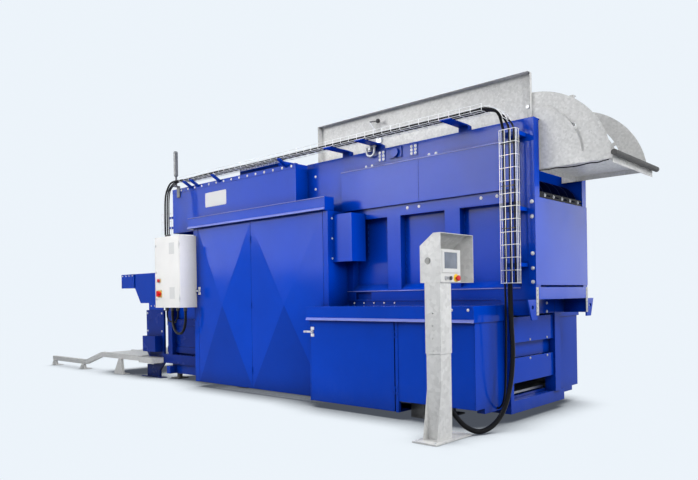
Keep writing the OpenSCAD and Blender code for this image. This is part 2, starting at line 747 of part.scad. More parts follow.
// Cabinet door with the bores of its switches and the switch plate
module cabinet_door() color(pale) place() {
    y = -cab_front;
    x = [-cab_end, -cab_x - cab_rim - 2];
    difference() {
        union() {
            difference() {
                block(x, [y, y + cab_door_d], [cab_z, cab_z + cab_h]);
                block([x[0] + sheet_t, x[1] - sheet_t], [y + sheet_t, y + cab_door_d + 1],
                    [cab_z + sheet_t, cab_z + cab_h - sheet_t]);
            }
            block([-switch_x - 42, -switch_x + 42], [y - 4, y + 4], [switch_z - 42, switch_z + 42]);
            bar_y(-switch_x, [y - 10, y + 4], estop_z, 50);
        }
        bar_y(-switch_x, [y - 20, y + 20], switch_z, 20 + 2 * fit);
        bar_y(-switch_x, [y - 20, y + 20], estop_z, 22 + 2 * fit);
    }
    for (z = [cab_z + 110, cab_z + cab_h - 110])
        translate([-cab_x - cab_rim, y - hinge_r, z]) hinge_moving();
}

// Rotary main switch: knob with a grip bar on its shaft
module main_switch() color(red) place() {
    y = -cab_front;
    bar_y(-switch_x, [y - 26, y - 4 - rest_gap], switch_z, 68);
    block([-switch_x - 9, -switch_x + 9], [y - 48, y - 26], [switch_z - 34, switch_z + 34]);
    bar_y(-switch_x, [y - 10, y + 18], switch_z, 20);
}

// Mushroom stop button on its stem
module mushroom() {
    rotate_extrude() polygon([[0, -18], [11, -18], [11, 16], [21, 18], [21, 26], [16, 31], [0, 33]]);
}
module cabinet_estop() color(red) place()
    translate([-switch_x, -cab_front, estop_z]) rotate([90, 0, 0]) mushroom();

// Cable glands under and on the control cabinet, and at the casing's foot
gland_x = [for (d = [62, 182, 302, 462]) cab_end - d];
module cabinet_glands() color(dark) place() {
    for (x = gland_x) bar_z(-x, -cab_front + 120, [cab_z - 40, cab_z], 44);
    for (x = [cab_end - 127, cab_end - 81])
        bar_z(-x, -cab_front + 120, [cab_z + cab_h, cab_z + cab_h + 40], 44);
}

// Guard walls beside the hood: sheets with folded top, foot and end
module guard_walls() color(zinc) place() both() {
    x = [-guard_x - guard_l, -guard_x];
    top = chamber_top + guard_h;
    difference() {
        union() {
            block(x, [-guard_y, -guard_in], [chamber_top, top]);
            block(x, [-guard_y - 60, -guard_y], [top - sheet_t, top]);
            block(x, [-guard_y - 40, -guard_y], [chamber_top, chamber_top + sheet_t]);
            block([x[1] - sheet_t, x[1]], [-guard_y - 28, -guard_y], [chamber_top, top]);
            block([x[0], x[0] + sheet_t], [-guard_y - 60, -guard_y], [chamber_top, top]);
        }
        bar_y(-pivot_x + slot_r * cos(guide_angle), [-guard_y - 1, -guard_in + 1],
            pivot_z + slot_r * sin(guide_angle), 16 + 2 * fit);
    }
}

// Feed hood: two rounded cheeks with guide slots, and the flanged pan between them
module feed_hood() color(zinc) place() {
    both() difference() {
        intersection() {
            bar_y(-pivot_x, [-cheek_out, -cheek_in], cheek_z, 2 * cheek_r);
            block([-cheek_back, cheek_tip], [-cheek_out, -cheek_in], [pan_low, cheek_z + cheek_r]);
        }
        translate([-pivot_x, -cheek_in + 1, pivot_z]) rotate([90, 0, 0]) rotate([0, 0, 3])
            rotate_extrude(angle = guide_angle - 1, $fn = 96)
                translate([slot_r - slot_w / 2, 0]) square([slot_w, sheet_t + 2]);
        bar_y(-pivot_x, [-cheek_out - 1, -cheek_in + 1], pivot_z, pin_d + 2 * fit);
    }
    x = [-pivot_x + 62, cheek_tip - 30];
    block(x, [-cheek_in, cheek_in], [pan_top - sheet_t, pan_top]);
    block([x[0], x[0] + sheet_t], [-cheek_in, cheek_in], [pan_low, pan_top]);
    block([x[1] - sheet_t, x[1]], [-cheek_in, cheek_in], [pan_low, pan_top]);
    both() bar_y(-pivot_x + slot_r * cos(stop_angle), [-cheek_out - 4, -cheek_in + 4],
        pivot_z + slot_r * sin(stop_angle), slot_w + 10);
}

// Galvanised lip at the hood's tip
module hood_lip() color(zinc) place() {
    w = edge_w / 2 - 40;
    block([cheek_tip - 30, lip_x], [-cheek_in, cheek_in], [pan_low + 8, pan_low + 8 + sheet_t]);
    block([lip_x, lip_x + sheet_t], [-w, w], [pan_low - 40, pan_low + 46]);
}

// Rubber safety edge along the lip
module safety_edge() color(dark) place() bar_y(edge_x, [-edge_w / 2, edge_w / 2], edge_z, edge_d);

// Hood pivots on the chamber columns and the guide bolts in the guard walls
module hood_pins() color(zinc) place() both() {
    bar_y(-pivot_x, [-inner_y, -cheek_out - rest_gap], pivot_z, 70);
    bar_y(-pivot_x, [-cheek_out - rest_gap, -cheek_in + 8], pivot_z, pin_d);
    gx = -pivot_x + slot_r * cos(guide_angle);
    gz = pivot_z + slot_r * sin(guide_angle);
    bar_y(gx, [-guard_y, -cheek_in + 6], gz, 16);
    bar_y(gx, [-guard_y - 10, -guard_y], gz, 30);
}

// Sensor lead clipped along the hood's near flange
lead_z = pan_low - 4;
hood_route = [[-60, 0], [0, -6], [70, 0], [150, -6], [240, 0], [330, -6], [420, 0], [490, -6], [540, 0]];
hood_path = [for (p = hood_route) [p[0], -cheek_out + 2, lead_z + p[1]]];
module hood_cable() color(dark) place() tube(smooth(hood_path, 2), 4);

// Signal mast on its bracket at the end of the upper cabinet
module signal_mast() color([0.35, 0.36, 0.38]) place() {
    x = -upper_end + 145;
    y = -upper_y - 40;
    z = chamber_top + 30;
    block([x - 30, x + 30], [-upper_y - sheet_t - 10, -upper_y - sheet_t], [z - 140, z]);
    block([x - 30, x + 30], [y - 32, -upper_y - sheet_t - 10], [z - 10, z]);
    bar_z(x, y, [z, z + 130], 26);
    bar_z(x, y, [z + 130, z + 420], 52);
    bar_z(x, y, [z + 420, z + 438], 40);
}

// Blue arms that carry the top tray, and the standoffs of the upright trays
module tray_brackets() color(blue) place() {
    low = tray_z - 8;
    for (k = [0, 8, 11, 12])
        side_arm(upper_x + 60 + (k + 0.5) * flange_pitch, 40,
            [[-upper_y - sheet_t, chamber_top - 30], [-upper_y - sheet_t, chamber_top - 6],
            [-tray_y - 75, tray_z], [-tray_y - 95, tray_z], [-tray_y - 80, low - 12]]);
    for (x = [chamber_l - 50, rear_rib_x + 100, front_rib_x - 205])
        side_arm(x, 100, [[-half_w, chamber_top], [-half_w + 50, chamber_top], [-half_w + 50, low],
            [-half_w - 20, tray_z], [-tray_y - 85, tray_z], [-tray_y - 85, low], [-half_w, low - 4]]);
    for (z = [drop_low + 130, drop_low + 570, cover_top + 2])
        block([-drop_x - tray_w, -return_d - 2], [-tray_y + tray_d, -half_w], [z, z + 30]);
    for (z = [upper_low + 65, upper_low + 195])
        block([-upper_end - 140, -upper_end], [-upper_y + 20, -upper_y + 30], [z, z + 30]);
}
module side_arm(x, w, points)
    translate([-x - w / 2, 0, 0]) rotate([90, 0, 90]) linear_extrude(w) polygon(points);

// Flat wire mesh of one length and width
module mesh(l, w) {
    n = floor(l / rung);
    m = max(1, round(w / 50));
    linear_extrude(wire) difference() {
        square([l, w]);
        for (i = [0 : n - 1], j = [0 : m - 1])
            translate([wire + i * l / n, wire + j * (w - wire) / m])
                square([l / n - wire - (i == n - 1 ? wire : 0), (w - wire) / m - wire]);
    }
}

// Wire tray of one length: meshed floor and two meshed sides
module tray(l) {
    mesh(l, tray_w);
    for (y = [wire, tray_w]) translate([0, y, wire]) rotate([90, 0, 0]) mesh(l, tray_d - wire);
}

// Top tray in two lengths along the machine
module cable_tray_top() color(zinc) place() {
    half = (tray_left - tray_right) / 2;
    for (k = [0, 1])
        translate([-tray_left + k * half, -tray_y - tray_w / 2, tray_z]) tray(half - (k == 0 ? 2 : 0));
}

// Upright trays at the intake end and beside the control cabinet
module cable_tray_drops() color(zinc) place() {
    translate([-drop_x - tray_w, -tray_y, drop_low]) rotate([0, -90, -90]) tray(drop_l);
    translate([-upper_end - 60, -upper_y + 20, upper_low + 265 - side_drop])
        rotate([0, -90, 90]) tray(side_drop);
}

// Cables held by the trays, from the control cabinet to the lower end of the upright tray
cable_y = cab_front - 120;
run_z = tray_z + 23;
function tray_route(dy) = [
    [-cab_end + 97 + dy, -cable_y, cab_z + cab_h + 40], [-cab_end + 97 + dy, -cable_y, cab_z + cab_h + 300],
    [-cab_end + 97 + dy, -cable_y + 8, tray_z - 190], [-cab_end + 104 + dy, -cable_y + 34, tray_z - 80],
    [-cab_end + 128 + dy, -tray_y - 80 + dy / 2, tray_z + 6], [-tray_left - 20, -tray_y - 8 + dy, run_z + 6],
    [-tray_left + 80, -tray_y + dy, run_z], [-tray_left + 160, -tray_y + dy, run_z],
    [-(tray_left + tray_right) / 2, -tray_y + dy, run_z], [-tray_right - 130, -tray_y + dy, run_z],
    [-tray_right + 6, -tray_y + dy, run_z + 2], [-drop_x - 140, -tray_y - 4 + dy / 2, run_z - 44],
    [-drop_x - 80 + dy, -tray_y + 26, run_z - 152], [-drop_x - 68 + dy, -tray_y + 24, drop_low + drop_l - 90],
    [-drop_x - 68 + dy, -tray_y + 22, drop_low + 570], [-drop_x - 68 + dy, -tray_y + 22, drop_low]];
module tray_cables() color(dark) place() {
    tube(tray_route(-30), 15, 10);
    tube(tray_route(16), 11, 10);
}

// Pillar post: base plate with anchor holes, gussets and square tube
module pillar_post() color(zinc) place() {
    difference() {
        block([-foot_x - foot_plate[0], -foot_x], [-foot_y, -foot_y + foot_plate[1]], [0, foot_plate[2]]);
        for (x = [30, foot_plate[0] - 30], y = [30, foot_plate[1] - 30])
            bar_z(-foot_x - x, -foot_y + y, [-1, foot_plate[2] + 1], 14);
    }
    difference() {
        block([-post_x2, -post_x1], [-post_y2, -post_y1], [foot_plate[2], post_top]);
        block([-post_x2 + pillar_t, -post_x1 - pillar_t], [-post_y2 + pillar_t, -post_y1 - pillar_t],
            [foot_plate[2] + pillar_t, post_top + 1]);
        bar_y(-(post_x1 + post_x2) / 2, [-post_y1 - pillar_t - 1, -post_y1 + 1], 210, hose_d + 1);
    }
    for (x = [-post_x2, -post_x1 - pillar_t])
        translate([x, 0, 0]) rotate([90, 0, 90]) linear_extrude(pillar_t)
            polygon([[-post_y2 - 60, foot_plate[2]], [-post_y2, foot_plate[2]], [-post_y2, 370]]);
}

// Pillar head: sleeve on the post and the hooded housing, open towards the intake end
function head_outline(t, open) = [
    [-head_x - head_d + t, head_z + t], [-head_x + open, head_z + t], [-head_x + open, head_z + head_h - t],
    [-head_x - 60, head_z + head_h - t], [-head_x - head_d + t, head_z + head_h - 88 - t]];
module pillar_head() color(zinc) place() {
    g = sleeve_gap;
    w = sleeve_gap + pillar_t;
    difference() {
        block([-post_x2 - w, -post_x1 + w], [-post_y2 - w, -post_y1 + w], [sleeve_z, head_z]);
        block([-post_x2 - g, -post_x1 + g], [-post_y2 - g, -post_y1 + g], [sleeve_z - 1, head_z - 4]);
        for (k = [0 : 3])
            bar_y(-(post_x1 + post_x2) / 2, [-post_y2 - w - 1, -post_y2], sleeve_z + 20 + k * 90, 11);
    }
    difference() {
        side_plate(head_outline(0, 0), [-head_y, -head_y + head_w]);
        side_plate(head_outline(pillar_t, 20), [-head_y + pillar_t, -head_y + head_w - pillar_t]);
        bar_y(-head_x - 112, [-head_y - 1, -head_y + pillar_t + 1], head_z + 157, 52);
    }
}

// Operator panel in the pillar head: front plate, body and the bores of its switches
module pillar_panel() color(pale) place() {
    low = head_z + pillar_t;
    difference() {
        union() {
            block([-panel_x - panel_t, -panel_x], [-panel_y, -panel_y + panel_w], [low, low + panel_h]);
            block([-panel_x - 70, -panel_x - panel_t], [-panel_y + 15, -panel_y + panel_w - 15],
                [low, low + panel_h - 20]);
        }
        for (d = [[70, 22], [125, 22], [205, 22]])
            bar_x([-panel_x - 40, -panel_x + 1], -panel_y + d[0], key_z, d[1] + 2 * fit);
    }
}
module pillar_estop() color(red) place()
    translate([-panel_x, -panel_y + 205, key_z]) rotate([0, 90, 0]) mushroom();

// Key switch: barrel, collar and key bow
module pillar_key() color(zinc) place() {
    y = -panel_y + 70;
    bar_x([-panel_x - 20, -panel_x + 8], y, key_z, 22);
    bar_x([-panel_x + rest_gap, -panel_x + 8], y, key_z, 30);
    block([-panel_x + 8, -panel_x + 30], [y - 2, y + 2], [key_z - 10, key_z + 10]);
}

// Push button: stem and flat cap
module pillar_button() color(dark) place() {
    y = -panel_y + 125;
    bar_x([-panel_x - 18, -panel_x + 7], y, key_z, 22);
    bar_x([-panel_x + 7, -panel_x + 13], y, key_z, 28);
}

// Ram: face, top, bottom and side plates, sliding shoes and the cross bar for the rods
module ram() color([0.30, 0.31, 0.33]) place() {
    x = [-ram_face, -ram_tail];
    block([-ram_face, -ram_face + ram_t], [-ram_y, ram_y], [ram_low, ram_top]);
    block(x, [-ram_y, ram_y], [ram_top - 20, ram_top]);
    block(x, [-ram_y, ram_y], [ram_low, ram_low + 20]);
    both() block(x, [-ram_y, -ram_y + 20], [ram_low, ram_top]);
    both() block(x, [-ram_y + 60, -ram_y + 160], [channel_floor + rest_gap, ram_low]);
    block([-yoke_x, -ram_tail], [-rod_y - 45, rod_y + 45], [rod_z - head_bar / 2, rod_z + head_bar / 2]);
}

// Piston rods with their pistons
module ram_rods() color(zinc) place() both() {
    bar_x([-mouth_x - mouth_l, -yoke_x], -rod_y, rod_z, rod_d);
    bar_x([-mouth_x - mouth_l - piston_l, -mouth_x - mouth_l], -rod_y, rod_z, barrel_bore - 2 * fit);
}

// Press cylinders: barrels with rod guides, end caps and brackets on the channel walls
module ram_cylinders() color(dark) place() both() {
    difference() {
        bar_x([-barrel_end, -mouth_x], -rod_y, rod_z, barrel_d);
        bar_x([-barrel_end + 20, -mouth_x - mouth_l], -rod_y, rod_z, barrel_bore);
        bar_x([-barrel_end + 20, -mouth_x + 1], -rod_y, rod_z, rod_d + 2 * fit);
    }
    for (x = [barrel_end, mouth_x + 160]) difference() {
        block([-x, -x + 40], [-rod_y - barrel_d / 2 - 20, -channel_out],
            [rod_z - barrel_d / 2 - 20, rod_z + barrel_d / 2 + 20]);
        bar_x([-x - 1, -x + 41], -rod_y, rod_z, barrel_d);
    }
}

// Pre-press flap on its shaft
module press_flap() color([0.30, 0.31, 0.33]) place() {
    w = inner_y - 15;
    bar_y(-flap_x, [-half_w - 24, half_w + 24], flap_z, shaft_d);
    block([-flap_x, -flap_x + flap_l], [-w, w], [flap_z - 8, flap_z + 8]);
    for (k = [-1, 0, 1]) block([-flap_x, -flap_x + flap_l - 40], [k * 300 - 8, k * 300 + 8],
        [flap_z - 60, flap_z]);
}

// Bearing plates of the flap shaft with their caps
module flap_bearings() color(blue) place() both() difference() {
    union() {
        block([-flap_x - 71, -flap_x + 71], [-half_w - 12, -half_w], [flap_z - 50, flap_z + 50]);
        bar_y(-flap_x, [-half_w - 34, -half_w - 12], flap_z, shaft_d + 26);
    }
    bar_y(-flap_x, [-half_w - 25, -half_w + 1], flap_z, shaft_d + 2 * fit);
}

// Outfeed gate: side plates with rod bores, clamp housings, posts, beams, panels and foot plates
module gate_side() {
    difference() {
        side_plate([[-gate_end, 0], [-gate_x - 120, 0], [-gate_x - 120, 90], [-gate_x, 200],
                    [-gate_x, gate_h], [-gate_end, gate_h], [-gate_end, 330],
                    [-gate_end + 170, 160], [-gate_end, 160]],
            [-gate_y, -gate_in]);
        bar_y(-clamp_x, [-gate_y - 1, -gate_in + 1], clamp_z, clamp_rod + 2 * fit);
    }
    block([-gate_end - 40, -gate_x + 20], [-gate_y - 60, -gate_in], [0, 10]);
    difference() {
        block([-clamp_x - 158, -clamp_x + 158], [-gate_y - 100, -gate_y], [clamp_z - 105, clamp_z + 105]);
        bar_y(-clamp_x, [-gate_y - 90, -gate_y + 1], clamp_z, clamp_rod + 20);
    }
    block([-post_l - 96, -post_l], [-gate_y, -channel_out], [channel_floor + 10, chamber_z - 40]);
    block([-gate_x, -casing_end], [-gate_y, -half_w], [channel_floor + 10, 320]);
    block([-gate_x, -casing_end], [-half_w, -channel_out], [340, 420]);
    block([-gate_x, -casing_end], [-half_w + 10, -channel_out], [420, 700]);
    block([-gate_x, -casing_end], [-half_w, -channel_out], [700, 780]);
}
module outfeed_gate() color(blue) place() both() gate_side();

// Tying head over the outfeed: housing between the gate plates and the box in front of it
module tying_head() color(blue) place() {
    x = [-gate_end - 330, -gate_x - 40];
    z = [gate_h + 96, gate_h + 509];
    side_plate([[x[0], z[0] + 214], [x[0] + 150, z[0]], [x[1], z[0]], [x[1], z[1]], [x[0], z[1]]],
        [-gate_y + 15, gate_y - 15]);
    block([x[0] - 350, x[0]], [-gate_y, gate_y], [z[0] + 214, z[1]]);
    both() block([-gate_end + 40, -gate_x - 40], [-gate_y + 15, -gate_in], [gate_h, z[0]]);
}

// Side clamp: pressure plate and its rod in the gate plate
module side_clamp() {
    block([-clamp_x - 150, -clamp_x + 150], [-gate_in + rest_gap, -gate_in + clamp_t],
        [clamp_z - 180, clamp_z + 180]);
    bar_y(-clamp_x, [-gate_y - 60, -gate_in + clamp_t], clamp_z, clamp_rod);
}
module side_clamp_front() color([0.30, 0.31, 0.33]) place() side_clamp();
module side_clamp_rear() color([0.30, 0.31, 0.33]) place() mirror([0, 1, 0]) side_clamp();

// Outfeed rails: level run, ramp and low run on gusseted legs, with the table between them
module outfeed_rails() color(zinc) place() {
    both() side_plate([[-gate_end + 60, table_z - 70], [-gate_end + 60, table_z], [-bend, table_z],
            [-bend - ramp_l, ramp_z], [-table_end, ramp_z], [-table_end, ramp_z - 70],
            [-bend - ramp_l, ramp_z - 70], [-bend, table_z - 70]], [-table_y, -table_y + 50]);
    legs = [[gate_end + 454, table_z - 70, 180], [bend + ramp_l + 110, ramp_z - 70, 110],
        [table_end - 60, ramp_z - 70, 110]];
    both() for (p = legs) {
        side_plate([[-p[0] - p[2], 0], [-p[0] + 60, 0], [-p[0] + 20, p[1]], [-p[0] - 40, p[1]]],
            [-table_y, -table_y + 40]);
        block([-p[0] - p[2], -p[0] + 60], [-table_y, -table_y + 120], [0, 8]);
    }
    block([-bend, -gate_end - 2], [-table_y + 50, table_y - 50], [table_z - 16, table_z - 10]);
    for (x = [gate_end + 454, bend - 40])
        block([-x - 40, -x + 40], [-table_y + 50, table_y - 50], [table_z - 70, table_z - 16]);
    both() block([-gate_end + 60, -gate_x - 20], [-table_y, -gate_y], [table_z - 90, table_z - 20]);
}

// Zinc bolts of the covers, flanges and end panel
module panel_bolts() color(zinc) place() {
    bolts_y([for (k = [0 : 14]) [-upper_x - 60 - k * flange_pitch, chamber_top - 26]],
        -upper_y - sheet_t, 20);
    both() bolts_y([for (z = [774, 656, 365, 248, 140]) [-22, chamber_z + z]], -half_w - sheet_t, 24);
    bolts_y([for (x = [flap_x + 170, flap_x - 205], dx = [-22, 22], dz = [20, 52, 84])
        [-x + dx, cover_top + 34 + dz]], -half_w - 6, 20);
    bolts_y(concat([for (d = [371, 295, -371, -446]) [-flap_x - d, cover_top + 14]],
        [for (z = [155, 285, 415]) [-upper_x + 120, casing_top + z]],
        [for (d = [405, 275, -365, -515]) [-front_rib_x - d, beam_low + 62]]), -half_w, 20);
    bolts_x([for (z = [465, 270, 75]) [-box_y - 13, casing_top - z]], -casing_x + 4, 16);
    bolts_x([for (k = [-2 : 2]) [k * 160 + 10, opening_low + 28]], -6, 22);
    bolts_x([for (z = [36, 110]) [post_far - 150, chamber_z - z]], -cross_x, 20);
    bolts_y([for (k = [0 : 2]) [-side_x - 40 - k * 150, lid_top - 30]], -side_y - lid_d, 18);
}

// Hose from the upright tray to the pillar, and the lead that drops beside it
hose_d = 40;
hose_x = -drop_x - 78;
hose_y = -tray_y + 22;
foot_mid = -(post_x1 + post_x2) / 2;
hose_top = drop_low - rest_gap;
hose_route = [[hose_x, hose_y, hose_top], [hose_x, hose_y, hose_top - 130],
    [hose_x + 8, hose_y - 4, hose_top - 330], [hose_x + 20, hose_y - 12, hose_top - 530],
    [hose_x + 18, hose_y - 32, 420], [hose_x + 6, hose_y - 70, 260],
    [hose_x - 14, hose_y - 134, 130], [hose_x - 36, hose_y - 222, 58], [hose_x - 64, hose_y - 312, 26],
    [hose_x - 98, hose_y - 392, 30], [foot_mid + 80, -post_y1 + 150, 62],
    [foot_mid + 42, -post_y1 + 102, 128],
    [foot_mid + 12, -post_y1 + 66, 192], [foot_mid, -post_y1 + 44, 208], [foot_mid, -post_y1 + 20, 210],
    [foot_mid, -post_y1 + 5, 210], [foot_mid, -post_y1 - 15, 210]];
module pillar_hose() color(dark) place() tube(smooth(hose_route, 3), hose_d / 2, 10);
lead_x = -drop_x - 122;
lead_end = -half_w - 120;
lead_route = [[lead_x, hose_y, hose_top], [lead_x, hose_y + 4, hose_top - 130],
    [lead_x - 4, hose_y + 12, hose_top - 330], [lead_x - 12, hose_y + 18, 560],
    [lead_x - 18, hose_y + 22, 420], [lead_x - 26, hose_y + 28, 320], [lead_x - 38, lead_end - 24, 245],
    [-side_x + 60, lead_end - 14, side_low + 30], [-side_x + 34, lead_end - 5, side_low - 7],
    [-side_x + 12, lead_end, side_low - 21], [-side_x + 3 * rest_gap, lead_end, side_low - 21]];
module drop_cable() color(dark) place() tube(smooth(lead_route, 3), 8);

// Cable loops under the control cabinet
loop_y = -cab_front + 120;
loop_z = cab_z - 40 - rest_gap;
long_loop = [for (p = [[182, 0], [182, 68], [190, 148], [217, 218], [262, 262], [322, 276],
    [382, 262], [427, 218], [454, 148], [462, 68], [462, 0]]) [-cab_end + p[0], loop_y, loop_z - p[1]]];
short_loop = [for (p = [[62, 0, 0], [62, 0, 48], [72, 0, 88], [112, 0, 128], [182, 40, 143],
    [252, 0, 128], [292, 0, 88], [302, 0, 48], [302, 0, 0]]) [-cab_end + p[0], loop_y + p[1], loop_z - p[2]]];
module cabinet_loop_long() color(dark) place() tube(smooth(long_loop, 2), 16, 10);
module cabinet_loop_short() color(dark) place() tube(smooth(short_loop, 2), 9);

base_frame();
base_feet();
press_channel();
chamber_base();
chamber_front();
chamber_rear();
cover_panels();
end_panel();
intake_fins();
intake_strips();
end_gussets();
upper_cabinet();
door_casing();
door_fixed();
door_leaf();
door_latch();
door_canopy();
casing_front();
casing_rear();
casing_lids();
casing_door();
casing_latch();
junction_box();
control_cabinet();
cabinet_door();
main_switch();
cabinet_estop();
cabinet_glands();
guard_walls();
feed_hood();
hood_lip();
safety_edge();
hood_pins();
hood_cable();
signal_mast();
tray_brackets();
cable_tray_top();
cable_tray_drops();
tray_cables();
pillar_post();
pillar_head();
pillar_panel();
pillar_estop();
pillar_key();
pillar_button();
ram();
ram_rods();
ram_cylinders();
press_flap();
flap_bearings();
outfeed_gate();
tying_head();
side_clamp_front();
side_clamp_rear();
outfeed_rails();
panel_bolts();
pillar_hose();
drop_cable();
cabinet_loop_long();
cabinet_loop_short();
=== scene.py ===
import json
import math

import bpy
import numpy as np
from mathutils import Matrix, Vector


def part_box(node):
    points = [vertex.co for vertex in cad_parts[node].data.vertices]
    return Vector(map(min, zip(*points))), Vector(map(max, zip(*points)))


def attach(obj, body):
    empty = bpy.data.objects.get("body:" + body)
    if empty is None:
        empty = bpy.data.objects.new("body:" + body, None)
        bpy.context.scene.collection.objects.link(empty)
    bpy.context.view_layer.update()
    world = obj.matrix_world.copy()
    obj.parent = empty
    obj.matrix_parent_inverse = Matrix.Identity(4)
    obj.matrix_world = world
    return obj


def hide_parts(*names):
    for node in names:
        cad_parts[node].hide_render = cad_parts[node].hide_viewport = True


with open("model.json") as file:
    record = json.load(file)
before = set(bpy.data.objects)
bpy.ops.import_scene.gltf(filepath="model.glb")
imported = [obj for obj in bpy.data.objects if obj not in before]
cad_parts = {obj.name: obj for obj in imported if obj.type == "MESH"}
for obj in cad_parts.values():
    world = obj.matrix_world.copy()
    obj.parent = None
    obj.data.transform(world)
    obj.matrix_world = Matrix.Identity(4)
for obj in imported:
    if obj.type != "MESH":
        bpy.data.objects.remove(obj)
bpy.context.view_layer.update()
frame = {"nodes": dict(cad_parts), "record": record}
nodes = frame["nodes"]
scene = bpy.context.scene
print("frame loaded")

# Machine places in millimetres count from the intake end, the centre line and the floor
postCorner = (-450.0, -1545.0)
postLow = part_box("pillar_post")[0]
shift = np.array([postLow.x - postCorner[0] / 1000, postLow.y - postCorner[1] / 1000, 0.0])
print("machine frame at", [round(float(v), 5) for v in shift])


def at(points):
    return np.asarray(points, float) / 1000 + shift


# Camera of the photograph
cameraSet = {"place": (2330, -5220, 1050), "yaw": 42.573, "pitch": -0.105, "roll": -0.921,
             "lens": 33.16, "shiftX": 0.0012, "shiftY": 0.0823}


def makeCamera(s):
    yaw, pitch, roll = (math.radians(s[k]) for k in ("yaw", "pitch", "roll"))
    forward = np.array([-math.sin(yaw) * math.cos(pitch), math.cos(yaw) * math.cos(pitch), math.sin(pitch)])
    right = np.array([math.cos(yaw), math.sin(yaw), 0.0])
    up = np.cross(right, forward)
    turnedRight = math.cos(roll) * right + math.sin(roll) * up
    turnedUp = -math.sin(roll) * right + math.cos(roll) * up
    data = bpy.data.cameras.new("camera")
    data.lens, data.sensor_width = s["lens"], 36.0
    data.shift_x, data.shift_y = s["shiftX"], s["shiftY"]
    data.clip_start, data.clip_end = 0.05, 200.0
    camera = bpy.data.objects.new("camera", data)
    scene.collection.objects.link(camera)
    turn = Matrix(np.array([turnedRight, turnedUp, -forward]).T.tolist()).to_4x4()
    camera.matrix_world = Matrix.Translation(Vector(at(s["place"]))) @ turn
    scene.camera = camera


makeCamera(cameraSet)
scene.view_settings.view_transform = "Standard"
scene.view_settings.look = "None"
print("camera set")


# Shader helpers
def addNode(tree, kind, **values):
    node = tree.nodes.new(kind)
    for key, value in values.items():
        if hasattr(node, key):
            setattr(node, key, value)
        else:
            node.inputs[key].default_value = value
    return node


# A socket takes a link from another socket, or a plain value
def feed(tree, socket, value):
    if isinstance(value, bpy.types.NodeSocket):
        tree.links.new(value, socket)
    else:
        socket.default_value = value


def mathNode(tree, operation, a, b=None, clamp=False):
    node = addNode(tree, "ShaderNodeMath", operation=operation, use_clamp=clamp)
    for socket, value in zip(node.inputs, (a, b)):
        if value is not None:
            feed(tree, socket, value)
    return node.outputs[0]


def mixColour(tree, factor, a, b):
    node = addNode(tree, "ShaderNodeMix", data_type="RGBA")
    feed(tree, node.inputs[0], factor)
    for socket, value in zip((node.inputs[6], node.inputs[7]), (a, b)):
        feed(tree, socket, value if isinstance(value, bpy.types.NodeSocket) else (*value, 1.0))
    return node.outputs[2]


def ramp(tree, source, low, high, outLow=0.0, outHigh=1.0):
    node = tree.nodes.new("ShaderNodeMapRange")
    for socket, value in zip(node.inputs, (source, low, high, outLow, outHigh)):
        feed(tree, socket, value)
    return node.outputs[0]


def objectCoords(tree):
    return tree.nodes.new("ShaderNodeTexCoord").outputs["Object"]


def noise(tree, coords, scale, detail=3.0, rough=0.55, stretch=None):
    node = addNode(tree, "ShaderNodeTexNoise", Detail=detail, Roughness=rough)
    feed(tree, node.inputs["Scale"], scale)
    if stretch:
        mapping = addNode(tree, "ShaderNodeMapping", Scale=stretch)
        tree.links.new(coords, mapping.inputs[0])
        coords = mapping.outputs[0]
    tree.links.new(coords, node.inputs["Vector"])
    return node.outputs["Fac"]


def splitVector(tree, source):
    node = tree.nodes.new("ShaderNodeSeparateXYZ")
    tree.links.new(source, node.inputs[0])
    return node.outputs


# A colour made lighter or darker by a tone
def tinted(tree, colour, tone):
    node = addNode(tree, "ShaderNodeVectorMath", operation="SCALE")
    node.inputs[0].default_value = colour
    tree.links.new(tone, node.inputs["Scale"])
    return node.outputs[0]


floatKind, vectorKind = "NodeSocketFloat", "NodeSocketVector"


def newGroup(name, inputs, outputs):
    tree = bpy.data.node_groups.new(name, "ShaderNodeTree")
    for label, value in inputs.items():
        kind = floatKind if isinstance(value, float) else vectorKind
        socket = tree.interface.new_socket(name=label, in_out="INPUT", socket_type=kind)
        socket.default_value = value
    for label, kind in outputs.items():
        tree.interface.new_socket(name=label, in_out="OUTPUT", socket_type=kind)
    return tree, tree.nodes.new("NodeGroupInput").outputs, tree.nodes.new("NodeGroupOutput").inputs


# Rounded edges: the normal blended over edges, and how far it turns there
def edgeGroup():
    tree, entry, leave = newGroup("edgeRound", {"Radius": 0.003}, {"Normal": vectorKind, "Edge": floatKind})
    bevel = addNode(tree, "ShaderNodeBevel", samples=4)
    tree.links.new(entry["Radius"], bevel.inputs["Radius"])
    dot = addNode(tree, "ShaderNodeVectorMath", operation="DOT_PRODUCT")
    tree.links.new(bevel.outputs[0], dot.inputs[0])
    tree.links.new(tree.nodes.new("ShaderNodeNewGeometry").outputs["Normal"], dot.inputs[1])
    turned = mathNode(tree, "SUBTRACT", 1.0, dot.outputs["Value"])
    tree.links.new(bevel.outputs[0], leave["Normal"])
    tree.links.new(ramp(tree, turned, 0.01, 0.12), leave["Edge"])
    return tree


# Dust: lies on faces that look up and splashes near the floor, broken up by noise
def dustGroup():
    tree, entry, leave = newGroup("dust", {"Amount": 0.3}, {"Mask": floatKind})
    geometry = tree.nodes.new("ShaderNodeNewGeometry")
    upward = ramp(tree, splitVector(tree, geometry.outputs["Normal"])["Z"], 0.35, 0.95)
    low = ramp(tree, splitVector(tree, geometry.outputs["Position"])["Z"], 0.45, 0.0, 0.0, 0.55)
    patchy = ramp(tree, noise(tree, objectCoords(tree), 9.0, 5.0, 0.65), 0.38, 0.72)
    lying = mathNode(tree, "MULTIPLY", mathNode(tree, "MAXIMUM", upward, low), patchy)
    tree.links.new(mathNode(tree, "MULTIPLY", lying, entry["Amount"], True), leave["Mask"])
    return tree


